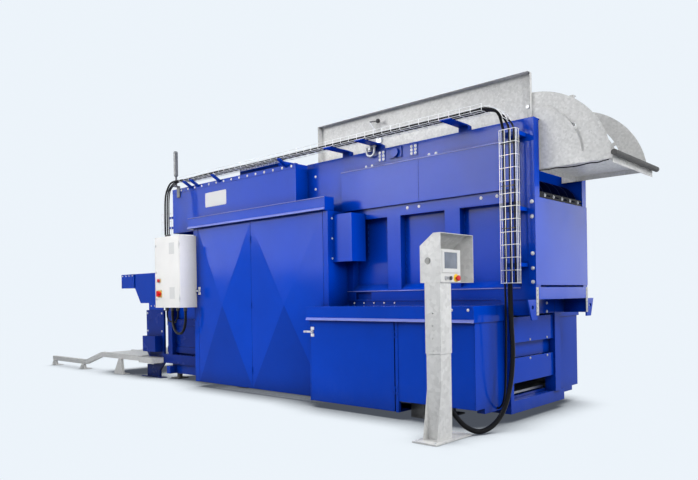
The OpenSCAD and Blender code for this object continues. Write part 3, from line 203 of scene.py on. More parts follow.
# Scratches: thin marks where stretched noise passes its middle value
def scratchGroup():
    tree, entry, leave = newGroup("scratches", {"Amount": 0.2}, {"Mask": floatKind})
    coords = objectCoords(tree)
    fine = noise(tree, coords, 30.0, 2.0, 0.5, (1.0, 1.0, 7.0))
    line = ramp(tree, mathNode(tree, "ABSOLUTE", mathNode(tree, "SUBTRACT", fine, 0.5)), 0.0, 0.006, 1.0, 0.0)
    spread = ramp(tree, noise(tree, coords, 2.2, 3.0), 0.52, 0.7)
    marks = mathNode(tree, "MULTIPLY", line, spread)
    tree.links.new(mathNode(tree, "MULTIPLY", marks, entry["Amount"], True), leave["Mask"])
    return tree


# Chipped edges: the turn at an edge, broken into flakes by noise
def chipGroup():
    tree, entry, leave = newGroup("chippedEdges", {"Edge": 0.0, "Amount": 0.35}, {"Mask": floatKind})
    flakes = ramp(tree, noise(tree, objectCoords(tree), 45.0, 4.0, 0.7), 0.45, 0.62)
    broken = mathNode(tree, "MULTIPLY", entry["Edge"], flakes)
    tree.links.new(mathNode(tree, "MULTIPLY", broken, entry["Amount"], True), leave["Mask"])
    return tree


# Drift of tone: broad clouds a little darker and lighter than the colour
def driftGroup():
    tree, entry, leave = newGroup("toneDrift", {"Darkest": 0.93, "Lightest": 1.07}, {"Tone": floatKind})
    clouds = noise(tree, objectCoords(tree), 1.3, 4.0, 0.6)
    tree.links.new(ramp(tree, clouds, 0.3, 0.7, entry["Darkest"], entry["Lightest"]), leave["Tone"])
    return tree


# Corner shade: inner corners fall darker where nearby faces cover their view of the room
def cornerGroup():
    tree, entry, leave = newGroup("cornerShade", {"Distance": 0.32, "Darkest": 0.2}, {"Tone": floatKind})
    cover = addNode(tree, "ShaderNodeAmbientOcclusion", samples=8)
    tree.links.new(entry["Distance"], cover.inputs["Distance"])
    tree.links.new(ramp(tree, cover.outputs["AO"], 0.25, 0.9, entry["Darkest"], 1.0), leave["Tone"])
    return tree


# Folds: the height part of the normal is strengthened, and faces that look down take painted shade, a darker
# tone in the colour
def foldGroup():
    tree, entry, leave = newGroup("foldShade", {"Normal": (0.0, 0.0, 0.0), "Fold": 1.0, "Under": 1.0},
                                  {"Normal": vectorKind, "Tone": floatKind})
    weight = addNode(tree, "ShaderNodeCombineXYZ", X=1.0, Y=1.0)
    tree.links.new(entry["Fold"], weight.inputs["Z"])
    steeper = addNode(tree, "ShaderNodeVectorMath", operation="MULTIPLY")
    tree.links.new(entry["Normal"], steeper.inputs[0])
    tree.links.new(weight.outputs[0], steeper.inputs[1])
    unit = addNode(tree, "ShaderNodeVectorMath", operation="NORMALIZE")
    tree.links.new(steeper.outputs[0], unit.inputs[0])
    height = splitVector(tree, unit.outputs[0])["Z"]
    tree.links.new(unit.outputs[0], leave["Normal"])
    tree.links.new(ramp(tree, height, -0.05, -0.02, entry["Under"], 1.0), leave["Tone"])
    return tree


# Patchy gloss: roughness wanders between two values in soft patches
def patchGroup():
    tree, entry, leave = newGroup("patchyGloss", {"Scale": 4.0, "Smooth": 0.3, "Dull": 0.4},
                                  {"Rough": floatKind})
    patches = noise(tree, objectCoords(tree), entry["Scale"])
    tree.links.new(ramp(tree, patches, 0.3, 0.7, entry["Smooth"], entry["Dull"]), leave["Rough"])
    return tree


# Drawn streaks: noise stretched along one way, darker in patches
def streakGroup():
    tree, entry, leave = newGroup("drawnStreaks", {"Smooth": 0.3, "Dull": 0.45},
                                  {"Tone": floatKind, "Rough": floatKind})
    coords = objectCoords(tree)
    streaks = noise(tree, coords, 20.0, 4.0, 0.6, (1.0, 30.0, 30.0))
    patches = noise(tree, coords, 12.0, 4.0, 0.65)
    tree.links.new(ramp(tree, mathNode(tree, "ADD", streaks, patches), 0.6, 1.4, 0.8, 1.12), leave["Tone"])
    tree.links.new(ramp(tree, streaks, 0.3, 0.7, entry["Smooth"], entry["Dull"]), leave["Rough"])
    return tree


# Flowers of zinc: cells of random tone, large blotches and faint runs
def zincGroup():
    tree, entry, leave = newGroup("zincFlowers", {"Scale": 70.0, "Contrast": 0.25},
                                  {"Tone": floatKind, "Rough": floatKind})
    coords = objectCoords(tree)
    warp = addNode(tree, "ShaderNodeTexNoise", Scale=40.0, Detail=2.0)
    tree.links.new(coords, warp.inputs["Vector"])
    bent = addNode(tree, "ShaderNodeVectorMath", operation="MULTIPLY_ADD")
    tree.links.new(warp.outputs["Color"], bent.inputs[0])
    bent.inputs[1].default_value = (0.008, 0.008, 0.008)
    tree.links.new(coords, bent.inputs[2])
    cells = tree.nodes.new("ShaderNodeTexVoronoi")
    tree.links.new(bent.outputs[0], cells.inputs["Vector"])
    tree.links.new(entry["Scale"], cells.inputs["Scale"])
    grey = tree.nodes.new("ShaderNodeRGBToBW")
    tree.links.new(cells.outputs["Color"], grey.inputs[0])
    blotch = noise(tree, coords, 6.0, 4.0, 0.6)
    runs = noise(tree, coords, 5.0, 3.0, 0.6, (5.0, 5.0, 0.6))
    shares = ((grey.outputs[0], 0.5), (blotch, 0.35), (runs, 0.25))
    cellPart, blotchPart, runPart = (mathNode(tree, "MULTIPLY", source, share) for source, share in shares)
    mixed = mathNode(tree, "ADD", cellPart, mathNode(tree, "ADD", blotchPart, runPart))
    centred = mathNode(tree, "SUBTRACT", mixed, 0.54)
    tone = mathNode(tree, "ADD", 1.0, mathNode(tree, "MULTIPLY", centred, entry["Contrast"]))
    tree.links.new(tone, leave["Tone"])
    tree.links.new(ramp(tree, mixed, 0.25, 0.85, 0.5, 0.34), leave["Rough"])
    return tree


# Skin grain: orange peel of sprayed paint or the grain of moulded plastic, as a normal
def grainGroup():
    tree, entry, leave = newGroup("skinGrain", {"Scale": 400.0, "Depth": 0.05, "Normal": (0.0, 0.0, 0.0)},
                                  {"Normal": vectorKind})
    bump = addNode(tree, "ShaderNodeBump", Distance=0.001)
    tree.links.new(noise(tree, objectCoords(tree), entry["Scale"], 2.0, 0.5), bump.inputs["Height"])
    tree.links.new(entry["Depth"], bump.inputs["Strength"])
    tree.links.new(entry["Normal"], bump.inputs["Normal"])
    tree.links.new(bump.outputs[0], leave["Normal"])
    return tree


groups = {"edge": edgeGroup(), "dust": dustGroup(), "scratch": scratchGroup(), "chip": chipGroup(),
          "drift": driftGroup(), "corner": cornerGroup(), "fold": foldGroup(), "patch": patchGroup(),
          "streak": streakGroup(), "zinc": zincGroup(), "grain": grainGroup()}


def useGroup(tree, name, **values):
    node = tree.nodes.new("ShaderNodeGroup")
    node.node_tree = groups[name]
    for key, value in values.items():
        feed(tree, node.inputs[key], value)
    return node.outputs


def newMaterial(name):
    material = bpy.data.materials.new(name)
    material.use_nodes = True
    tree = material.node_tree
    return material, tree, tree.nodes["Principled BSDF"]


dustColour = {"paint": (0.42, 0.43, 0.45), "zinc": (0.4, 0.39, 0.37), "skin": (0.35, 0.34, 0.33)}
paintScratches, dustDulls, edgeRub = 0.10, 0.4, 0.25


# Sprayed paint: tone drifts, painted shade in inner corners and on faces that look down, worn pale edges,
# fine scratches, dust and orange peel
def paint(name, colour, wornColour, rough=0.32, edge=0.003, dust=0.25, worn=0.35, peel=0.05, scale=260.0,
          coat=0.25, shine=0.5, fold=1.0, under=1.0):
    material, tree, bsdf = newMaterial(name)
    rounded = useGroup(tree, "edge", Radius=edge)
    folded = useGroup(tree, "fold", Normal=rounded["Normal"], Fold=fold, Under=under)
    # painted shade: the fold group darkens faces that look down in the colour
    tone = mathNode(tree, "MULTIPLY", useGroup(tree, "drift")["Tone"], folded["Tone"])
    # painted shade: the corner group darkens inner corners in the colour
    tone = mathNode(tree, "MULTIPLY", tone, useGroup(tree, "corner")["Tone"])
    chips = useGroup(tree, "chip", Edge=rounded["Edge"], Amount=worn)["Mask"]
    marks = useGroup(tree, "scratch", Amount=paintScratches)["Mask"]
    base = mixColour(tree, mathNode(tree, "MAXIMUM", chips, marks), tinted(tree, colour, tone), wornColour)
    layer = useGroup(tree, "dust", Amount=dust)["Mask"]
    tree.links.new(mixColour(tree, layer, base, dustColour["paint"]), bsdf.inputs["Base Color"])
    patches = useGroup(tree, "patch", Scale=4.0, Smooth=rough - 0.04, Dull=rough + 0.06)["Rough"]
    dull = mathNode(tree, "ADD", patches, mathNode(tree, "MULTIPLY", layer, dustDulls), True)
    tree.links.new(dull, bsdf.inputs["Roughness"])
    grain = useGroup(tree, "grain", Scale=scale, Depth=peel, Normal=folded["Normal"])
    tree.links.new(grain["Normal"], bsdf.inputs["Normal"])
    bsdf.inputs["Specular IOR Level"].default_value = shine
    bsdf.inputs["Coat Weight"].default_value = coat
    bsdf.inputs["Coat Roughness"].default_value = 0.08
    return material


# Zinc coat: flowers of random tone over a pale metal, with dust and soft edges
def zincCoat(name, colour, scale=70.0, contrast=0.3, metal=0.6, edge=0.002, dust=0.15, shine=0.5):
    material, tree, bsdf = newMaterial(name)
    flowers = useGroup(tree, "zinc", Scale=scale, Contrast=contrast)
    layer = useGroup(tree, "dust", Amount=dust)["Mask"]
    base = mixColour(tree, layer, tinted(tree, colour, flowers["Tone"]), dustColour["zinc"])
    tree.links.new(base, bsdf.inputs["Base Color"])
    tree.links.new(flowers["Rough"], bsdf.inputs["Roughness"])
    rounded = useGroup(tree, "edge", Radius=edge)
    grain = useGroup(tree, "grain", Scale=180.0, Depth=0.05, Normal=rounded["Normal"])
    tree.links.new(grain["Normal"], bsdf.inputs["Normal"])
    bsdf.inputs["Metallic"].default_value = metal
    bsdf.inputs["Specular IOR Level"].default_value = shine
    return material


# Bare metal: drawn streaks along one way, darker in patches
def bareMetal(name, colour, rough=0.35, edge=0.0015):
    material, tree, bsdf = newMaterial(name)
    streaks = useGroup(tree, "streak", Smooth=rough - 0.08, Dull=rough + 0.1)
    tree.links.new(tinted(tree, colour, streaks["Tone"]), bsdf.inputs["Base Color"])
    tree.links.new(streaks["Rough"], bsdf.inputs["Roughness"])
    tree.links.new(useGroup(tree, "edge", Radius=edge)["Normal"], bsdf.inputs["Normal"])
    bsdf.inputs["Metallic"].default_value = 1.0
    return material


# Moulded skin: plastic or rubber with fine grain, rubbed lighter on its edges
def moulded(name, colour, rough=0.45, scale=900.0, depth=0.08, edge=0.0015, dust=0.12, shine=0.5):
    material, tree, bsdf = newMaterial(name)
    rounded = useGroup(tree, "edge", Radius=edge)
    rubbed = mathNode(tree, "MULTIPLY", rounded["Edge"], edgeRub, True)
    pale = tuple(min(1.0, c * 1.5 + 0.03) for c in colour)
    layer = useGroup(tree, "dust", Amount=dust)["Mask"]
    base = mixColour(tree, layer, mixColour(tree, rubbed, colour, pale), dustColour["skin"])
    tree.links.new(base, bsdf.inputs["Base Color"])
    patches = useGroup(tree, "patch", Scale=25.0, Smooth=rough - 0.05, Dull=rough + 0.08)
    tree.links.new(patches["Rough"], bsdf.inputs["Roughness"])
    grain = useGroup(tree, "grain", Scale=scale, Depth=depth, Normal=rounded["Normal"])
    tree.links.new(grain["Normal"], bsdf.inputs["Normal"])
    bsdf.inputs["Specular IOR Level"].default_value = shine
    return material


# Dark glass of the screen, a little cloudy
def screenGlass(name, colour):
    material, tree, bsdf = newMaterial(name)
    tone = ramp(tree, noise(tree, objectCoords(tree), 9.0, 2.0), 0.3, 0.7, 0.75, 1.2)
    tree.links.new(tinted(tree, colour, tone), bsdf.inputs["Base Color"])
    bsdf.inputs["Roughness"].default_value = 0.12
    bsdf.inputs["Specular IOR Level"].default_value = 0.3
    return material


sprayBlue, wornBlue = (0.0003, 0.047, 0.46), (0.06, 0.15, 0.58)
materials = {
    "blue": paint("bluePaint", sprayBlue, wornBlue, 0.15, dust=0.03, coat=0.0, shine=0.07),
    # Door leaves: folds read deeper, and faces that look down carry painted shade
    "doorBlue": paint("doorPaint", sprayBlue, wornBlue, 0.13, 0.001, dust=0.0, coat=0.0, shine=0.07, fold=2.6,
                      under=0.8),
    # Hems: a paler, glossier copy of the blue paint, a painted highlight along sheet edges
    "hemHighlightBlue": paint("hemHighlightPaint", (0.15, 0.19, 0.58), (0.3, 0.34, 0.7), 0.2, dust=0.03, coat=0.16, shine=0.3),
    # Intake fins: dark blue steel, painted nearly black as painted shade under the hood
    "shadedFinBlue": paint("shadedFinPaint", (0.0008, 0.006, 0.06), (0.02, 0.04, 0.12), 0.5, dust=0.0, worn=0.1,
                     coat=0.0, shine=0.06),
    "stripDark": paint("stripPaint", (0.008, 0.009, 0.014), (0.05, 0.05, 0.06), 0.5, 0.001, 0.0, 0.1,
                       coat=0.0, shine=0.08),
    "darkBlue": paint("darkBluePaint", (0.001, 0.022, 0.23), (0.05, 0.12, 0.45), 0.24, dust=0.03, coat=0.0,
                      shine=0.07),
    "galvanised": zincCoat("galvanisedSheet", (0.50, 0.50, 0.49), 60.0, 0.5, 0.05, shine=0.12),
    "pillar": zincCoat("galvanisedPillar", (0.57, 0.57, 0.56), 34.0, 0.45, 0.05, shine=0.12),
    "wire": zincCoat("galvanisedWire", (0.74, 0.75, 0.76), 300.0, 0.3, 0.2, 0.0005, shine=0.2),
    "zinc": zincCoat("zincPlate", (0.50, 0.51, 0.53), 160.0, 0.35, 0.35, 0.001, shine=0.25),
    "steel": bareMetal("wornSteel", (0.30, 0.30, 0.31), 0.42),
    "chromed": bareMetal("chromedRod", (0.72, 0.73, 0.75), 0.14),
    "blackPaint": paint("blackPaint", (0.012, 0.012, 0.014), (0.10, 0.10, 0.11), 0.4),
    "cabinet": paint("cabinetPaint", (0.72, 0.71, 0.69), (0.62, 0.61, 0.6), 0.42, 0.0015, 0.12, 0.15, 0.16,
                     520.0, 0.0),
    "panelGrey": moulded("panelGrey", (0.58, 0.58, 0.57), 0.5),
    "red": moulded("redPlastic", (0.52, 0.012, 0.012), 0.28, 1200.0, 0.02),
    "yellow": moulded("yellowPlastic", (0.78, 0.5, 0.015), 0.35, 1200.0, 0.03),
    "black": moulded("blackPlastic", (0.018, 0.018, 0.02), 0.45),
    "mast": moulded("mastGrey", (0.10, 0.105, 0.115), 0.4),
    "rubber": moulded("blackRubber", (0.040, 0.038, 0.036), 0.62, 700.0, 0.12),
    "sheath": moulded("cableSheath", (0.004, 0.004, 0.005), 0.34, 900.0, 0.05, dust=0.01, shine=0.12),
    "screen": screenGlass("screenGlass", (0.10, 0.12, 0.16)),
}
print("materials made:", len(materials))

# CAD nodes take the material of their slot
slotMaterial = {"blue_paint": "blue", "dark_blue_paint": "darkBlue", "galvanised": "galvanised",
                "zinc": "zinc", "steel": "steel", "chromed": "chromed", "cylinder_paint": "blackPaint",
                "cabinet_paint": "cabinet", "panel_grey": "panelGrey", "red_plastic": "red",
                "black_plastic": "black", "mast_grey": "mast", "rubber": "rubber", "cable": "sheath"}
nodeMaterial = {"pillar_post": "pillar", "pillar_head": "pillar", "door_leaf": "doorBlue",
                "door_fixed": "doorBlue", "intake_fins": "shadedFinBlue"}
for part in frame["record"]["subparts"]:
    mesh = nodes[part["node"]].data
    mesh.materials.clear()
    mesh.materials.append(materials[nodeMaterial.get(part["node"], slotMaterial[part["material_slot"]])])
for name in ("control_cabinet", "cabinet_door"):
    nodes[name].visible_glossy = False  # keeps the pale cabinet out of the doors' gloss

# The strip right under the fins is dark, and the straps below it are galvanised
stripSet = {"node": "intake_strips", "darkAbove": 1.75}
stripMesh = nodes[stripSet["node"]].data
stripMesh.materials.append(materials["stripDark"])
centres = np.empty(3 * len(stripMesh.polygons))
stripMesh.polygons.foreach_get("center", centres)
stripMesh.polygons.foreach_set("material_index", (centres[2::3] > stripSet["darkAbove"]).astype(np.int32))
print("nodes dressed")

# Pale room: an even backdrop that camera, mirror and glass see alike, and a floor with a soft contact shadow
room = {"background": (0.842, 0.902, 0.96), "sky": (0.95, 0.97, 1.0), "soft": (0.05, 1.2), "half": 60.0,
        "shadow": (0.07, 0.08, 0.10), "floor": (0.22, 0.23, 0.25), "reach": 0.5, "drop": 0.001}


# One where a ray comes straight from the camera, from a mirror or through glass
def seenRays(tree):
    path = tree.nodes.new("ShaderNodeLightPath")
    mirrored = mathNode(tree, "MAXIMUM", path.outputs["Is Glossy Ray"], path.outputs["Is Transmission Ray"])
    return mathNode(tree, "MAXIMUM", path.outputs["Is Camera Ray"], mirrored)


# The seen surface takes the place of the lit one for those rays
def mixSeen(tree, lit, seen, output):
    mixer = tree.nodes.new("ShaderNodeMixShader")
    for socket, source in zip(mixer.inputs, (seenRays(tree), lit.outputs[0], seen.outputs[0])):
        tree.links.new(source, socket)
    tree.links.new(mixer.outputs[0], tree.nodes[output].inputs["Surface"])


def makeWorld(s):
    world = bpy.data.worlds.new("room")
    scene.world = world
    world.use_nodes = True
    world.cycles.sampling_method = "NONE"  # every ray then meets the room as its own kind
    tree = world.node_tree
    height = splitVector(tree, tree.nodes.new("ShaderNodeTexCoord").outputs["Generated"])["Z"]
    sky = tree.nodes["Background"]
    sky.inputs["Color"].default_value = (*s["sky"], 1.0)
    tree.links.new(ramp(tree, height, -0.05, 0.9, *s["soft"]), sky.inputs["Strength"])
    seen = addNode(tree, "ShaderNodeBackground", Strength=1.0, Color=(*s["background"], 1.0))
    mixSeen(tree, sky, seen, "World Output")


def makeFloor(s):
    mesh = bpy.data.meshes.new("floor")
    half = s["half"]
    corners = [(-half, -half, 0), (half, -half, 0), (half, half, 0), (-half, half, 0)]
    mesh.from_pydata(corners, [], [(0, 1, 2, 3)])
    floor = bpy.data.objects.new("floor", mesh)
    floor.location.z = -s["drop"]
    scene.collection.objects.link(floor)
    material, tree, bsdf = newMaterial("paleFloor")
    bsdf.inputs["Base Color"].default_value = (*s["floor"], 1.0)
    bsdf.inputs["Roughness"].default_value = 0.7
    bsdf.inputs["Specular IOR Level"].default_value = 0.1
    covered = addNode(tree, "ShaderNodeAmbientOcclusion", samples=16, Distance=s["reach"])
    clearSky = ramp(tree, covered.outputs["AO"], 0.38, 0.9)
    glow = addNode(tree, "ShaderNodeEmission", Strength=1.0)
    tree.links.new(mixColour(tree, clearSky, s["shadow"], s["background"]), glow.inputs["Color"])
    mixSeen(tree, bsdf, glow, "Material Output")
    mesh.materials.append(material)


# Soft boxes: place and aim in machine millimetres, width and height in metres
# A mirrored box shows only in the gloss, the others light only the surface itself
lampSet = {
    "keyLamp": {"place": (4000, -9000, 6500), "aim": (-2000, -400, 2600), "size": (5.0, 5.0), "power": 24,
                "spread": 42.0},
    "doorLamp": {"place": (-7000, -9500, 4800), "aim": (-3400, -700, 1450), "size": (5.0, 5.0), "power": 30,
                 "spread": 32.0},
    "sideLamp": {"place": (9000, -5500, 4200), "aim": (-4500, -900, 1500), "size": (4.0, 4.0), "power": 28,
                 "spread": 20.0},
    "lowLamp": {"place": (1300, -900, 500), "aim": (250, 0, 2040), "size": (0.8, 0.8), "power": 2.2,
                "spread": 50.0},
    "topLamp": {"place": (-2500, -500, 9000), "aim": (-2500, 0, 2000), "size": (7.0, 7.0), "power": 400},
    "endLamp": {"place": (6500, -800, 7500), "aim": (-200, 0, 1500), "size": (4.0, 4.0), "power": 400},
    "doorBox": {"place": (-13500, -9000, 4400), "aim": (-13500, 0, 4400), "size": (9.0, 2.8), "power": 430,
                "mirrored": True},
    "wallBoxLow": {"place": (-6900, -9000, 2400), "aim": (-6900, 0, 2400), "size": (6.4, 1.5), "power": 200,
                   "mirrored": True},
    "wallBoxHigh": {"place": (-6900, -9000, 4600), "aim": (-6900, 0, 4600), "size": (6.4, 2.8), "power": 1150,
                    "mirrored": True},
    "endBox": {"place": (6500, 14500, 2600), "aim": (0, 0, 2600), "size": (6.0, 3.6), "power": 200,
               "mirrored": True},
}


def makeLamp(name, s):
    data = bpy.data.lights.new(name, "AREA")
    data.shape, data.energy, data.spread = "RECTANGLE", s["power"], math.radians(s.get("spread", 180.0))
    data.size, data.size_y = s["size"]
    lamp = bpy.data.objects.new(name, data)
    lamp.location = Vector(at(s["place"]))
    lamp.rotation_mode = "QUATERNION"
    lamp.rotation_quaternion = (Vector(at(s["aim"])) - lamp.location).to_track_quat("-Z", "Y")
    lamp.visible_glossy = s.get("mirrored", False)
    lamp.visible_diffuse = not lamp.visible_glossy
    lamp.visible_camera = False
    scene.collection.objects.link(lamp)


makeWorld(room)
makeFloor(room)
for lampName, lampValues in lampSet.items():
    makeLamp(lampName, lampValues)
print("room made")


# Mesh helpers: a part is its points in machine millimetres and its faces
def joinParts(parts):
    points, faces, base = [], [], 0
    for pointArray, faceList in parts:
        points.append(np.asarray(pointArray, float))
        faces += [[k + base for k in face] for face in faceList]
        base += len(points[-1])
    return np.vstack(points), faces


sharpAngle = math.radians(38)


def makePiece(name, parts, material, body, smooth=True, replaced=()):
    points, faces = joinParts(parts)
    mesh = bpy.data.meshes.new(name)
    mesh.from_pydata(at(points).tolist(), [], faces)
    mesh.update()
    mesh.materials.append(materials[material])
    piece = bpy.data.objects.new(name, mesh)
    scene.collection.objects.link(piece)
    if smooth:
        mesh.shade_smooth()
        mesh.set_sharp_from_angle(angle=sharpAngle)
    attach(piece, body)
    if replaced:
        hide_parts(*replaced)
    return piece


def boxPart(x, y, z):
    points = np.array([[a, b, c] for a in x for b in y for c in z], float)
    faces = [[0, 1, 3, 2], [4, 6, 7, 5], [0, 4, 5, 1], [2, 3, 7, 6], [0, 2, 6, 4], [1, 5, 7, 3]]
    return points, faces


# Tube: a ring of points round each place of the path, turned as little as possible from the last ring
def tubePart(path, radius, sides=8):
    path = np.asarray(path, float)
    count = len(path)
    along = np.gradient(path, axis=0)
    along /= np.linalg.norm(along, axis=1)[:, None]
    side = np.zeros_like(path)
    start = np.cross(along[0], (0.0, 0.0, 1.0) if abs(along[0][2]) < 0.9 else (0.0, 1.0, 0.0))
    side[0] = start / np.linalg.norm(start)
    for k in range(1, count):
        turned = side[k - 1] - along[k] * (side[k - 1] @ along[k])
        side[k] = turned / np.linalg.norm(turned)
    other = np.cross(along, side)
    angle = np.arange(sides) * 2 * np.pi / sides
    radii = np.broadcast_to(np.asarray(radius, float), (count,))[:, None, None]
    ring = np.cos(angle)[None, :, None] * side[:, None] + np.sin(angle)[None, :, None] * other[:, None]
    points = (path[:, None] + radii * ring).reshape(-1, 3)
    i, j = np.meshgrid(np.arange(count - 1), np.arange(sides), indexing="ij")
    a, b = i * sides + j, i * sides + (j + 1) % sides
    faces = np.stack([a, b, b + sides, a + sides], -1).reshape(-1, 4).tolist()
    faces += [list(range(sides))[::-1], [(count - 1) * sides + k for k in range(sides)]]
    return points, faces


# Turned shape: a profile of radius and height swung round an axis
def lathePart(profile, place, axis=(0, 0, 1), segments=24):
    profile = np.asarray(profile, float)
    axis = np.asarray(axis, float)
    u = np.cross(axis, (0.0, 0.0, 1.0) if abs(axis[2]) < 0.9 else (0.0, 1.0, 0.0))
    u /= np.linalg.norm(u)
    w = np.cross(axis, u)
    angle = np.arange(segments) * 2 * np.pi / segments
    ring = np.cos(angle)[:, None] * u + np.sin(angle)[:, None] * w
    points = (np.asarray(place, float) + profile[:, None, 0, None] * ring[None]
              + profile[:, None, 1, None] * axis).reshape(-1, 3)
    i, j = np.meshgrid(np.arange(len(profile) - 1), np.arange(segments), indexing="ij")
    a, b = i * segments + j, i * segments + (j + 1) % segments
    faces = np.stack([a, b, b + segments, a + segments], -1).reshape(-1, 4).tolist()
    faces.append([(len(profile) - 1) * segments + k for k in range(segments)])
    return points, faces


# Bar of constant section: the profile in y and z drawn along x
def prismPart(profile, x0, x1):
    profile = np.asarray(profile, float)
    n = len(profile)
    points = np.vstack([np.column_stack([np.full(n, x), profile]) for x in (x0, x1)])
    faces = [[k, (k + 1) % n, n + (k + 1) % n, n + k] for k in range(n)]
    return points, faces + [list(range(n))[::-1], list(range(n, 2 * n))]


# Ring of round bar: a small circle swung round a large one in the plane of two directions
def torusPart(place, across, up, large, small, segments=28, sides=10, arc=2 * np.pi):
    across, up = np.asarray(across, float), np.asarray(up, float)
    turn = np.linspace(0, arc, segments + 1)
    path = np.asarray(place, float) + large * (np.cos(turn)[:, None] * across + np.sin(turn)[:, None] * up)
    return tubePart(path, small, sides)


def copies(part, places):
    points, faces = part
    return [(points + np.asarray(place, float), faces) for place in places]


# Smooth line through chosen places: each stretch is a cubic that keeps its neighbours' direction
def smoothPath(places, steps=8):
    p = np.asarray(places, float)
    padded = np.vstack([2 * p[0] - p[1], p, 2 * p[-1] - p[-2]])
    t = np.linspace(0, 1, steps, endpoint=False)[:, None]
    stretches = [0.5 * (2 * b + (c - a) * t + (2 * a - 5 * b + 4 * c - d) * t ** 2
                        + (3 * b - a - 3 * c + d) * t ** 3)
                 for a, b, c, d in zip(padded[:-3], padded[1:-2], padded[2:-1], padded[3:])]
    return np.vstack([*stretches, p[-1:]])


# The same line with places at even steps along its length
def evenPath(path, spacing):
    steps = np.r_[0, np.cumsum(np.linalg.norm(np.diff(path, axis=0), axis=1))]
    wanted = np.linspace(0, steps[-1], max(2, int(round(steps[-1] / spacing)) + 1))
    return np.stack([np.interp(wanted, steps, path[:, k]) for k in range(3)], -1)


# A cord is a tube along its path, and its length is that of the path
def layCord(name, path, radius, sides, node):
    cord = makePiece(name, [tubePart(path, radius, sides)], "sheath", "machine", replaced=(node,))


# Free hose and leads
hoseSet = {"radius": 20.0, "pitch": 9.0, "depth": 1.6,
           "places": [(-128, -678, 1129.7), (-128, -678, 999.7), (-120, -682, 799.7), (-108, -690, 599.7),
                      (-110, -710, 420), (-122, -748, 260), (-142, -812, 130), (-164, -900, 58),
                      (-192, -990, 26), (-225.4, -1058, 27.7), (-263, -1135.4, 71), (-309.3, -1167, 128),
                      (-331, -1197.2, 176), (-338, -1234, 201.6), (-342.5, -1265, 210), (-342.5, -1280, 210),
                      (-342.5, -1300, 210)]}


# The hose wall swells and narrows as a rounded wave along its length
def makeHose(s):
    path = evenPath(smoothPath(s["places"], 14), s["pitch"] / 4)
    wave = np.cos(np.arange(len(path)) * np.pi / 2)
    radius = s["radius"] - s["depth"] * (0.5 - 0.5 * wave)
    layCord("pillarHose", path, radius, 14, "pillar_hose")


leadSet = {
    "dropLead": {"node": "drop_cable", "radius": 8.0,
                 "places": [(-172, -678, 1129.7), (-172, -674, 999.7), (-176, -666, 799.7), (-184, -660, 560),
                            (-190, -656, 420), (-198, -650, 320), (-210, -644, 245), (-230, -634, 185),
                            (-256, -625, 148), (-278, -620, 134), (-289.1, -620, 134)]},
    "cabinetLoopLong": {"node": "cabinet_loop_long", "radius": 16.0,
                        "places": [(-4580, -880, 907.7), (-4580, -880, 840), (-4572, -880, 760),
                                   (-4545, -880, 690), (-4500, -880, 646), (-4440, -880, 632),
                                   (-4380, -880, 646), (-4335, -880, 690), (-4308, -880, 760),
                                   (-4300, -880, 840), (-4300, -880, 907.7)]},
    "cabinetLoopShort": {"node": "cabinet_loop_short", "radius": 9.0,
                         "places": [(-4700, -880, 907.7), (-4700, -880, 860), (-4690, -880, 820),
                                    (-4650, -880, 780), (-4580, -840, 765), (-4510, -880, 780),
                                    (-4470, -880, 820), (-4460, -880, 860), (-4460, -880, 907.7)]},
}


makeHose(hoseSet)
for leadName, lead in leadSet.items():
    leadPath = evenPath(smoothPath(lead["places"], 10), 10.0)
    layCord(leadName, leadPath, lead["radius"], 12, lead["node"])
print("cords laid")

# Sensor lead under the hood: lies in slack waves below the pan
hoodLeadSet = {"radius": 4.6, "spacing": 8.0,
               "places": [(-58, -392, 2034), (-10, -388, 2033), (60, -372, 2032), (120, -380, 2033),
                          (190, -352, 2031), (260, -330, 2033), (320, -352, 2031), (390, -372, 2033),
                          (440, -356, 2031), (490, -374, 2033), (538, -392, 2034)]}
hoodPath = evenPath(smoothPath(hoodLeadSet["places"]), hoodLeadSet["spacing"])
makePiece("hoodLead", [tubePart(hoodPath, hoodLeadSet["radius"])], "sheath", "hood",
          replaced=("hood_cable",))

# Wire trays of round wire: bent cross wires on a pitch and long wires under and beside them
traySet = {"wire": 2.3, "pitch": 100.0, "width": 150.0, "depth": 60.0, "across": (0.0, 50.0, 100.0, 150.0),
           "up": (32.0, 60.0)}
flat = [(1, 0, 0), (0, 1, 0), (0, 0, 1)]
upright = [(0, 0, 1), (-1, 0, 0), (0, -1, 0)]
facing = [(0, 0, 1), (1, 0, 0), (0, 1, 0)]
trayRuns = {"topTrayWires": {"node": "cable_tray_top", "runs": [(4260.0, (-4560, -775, 2490), flat)]},
            "uprightTrayWires": {"node": "cable_tray_drops", "runs": [(1200.0, (-200, -700, 1130), facing),
                                                                     (900.0, (-4925, -650, 1250), upright)]}}


def trayParts(s, length):
    w, d, r = s["width"], s["depth"], s["wire"]
    bend = np.array([(0, r, d), (0, r, 10), (0, r + 2, 4), (0, r + 6, r),
                     (0, w - r - 6, r), (0, w - r - 2, 4), (0, w - r, 10), (0, w - r, d)], float)
    count = int(length // s["pitch"])
    stations = np.linspace(r, length - r, count + 1)
    parts = copies(tubePart(bend, r, 6), [(x, 0, 0) for x in stations])
    lines = [(min(max(y, 2 * r), w - 2 * r), 2.8 * r) for y in s["across"]]
    lines += [(y, z) for y in (2.8 * r, w - 2.8 * r) for z in s["up"]]
    parts += [tubePart([(0, y, z), (length / 2, y, z), (length, y, z)], r, 6) for y, z in lines]
    return parts


def turnParts(parts, origin, columns):
    turn = np.array(columns, float).T
    return [(points @ turn.T + np.asarray(origin, float), faces) for points, faces in parts]


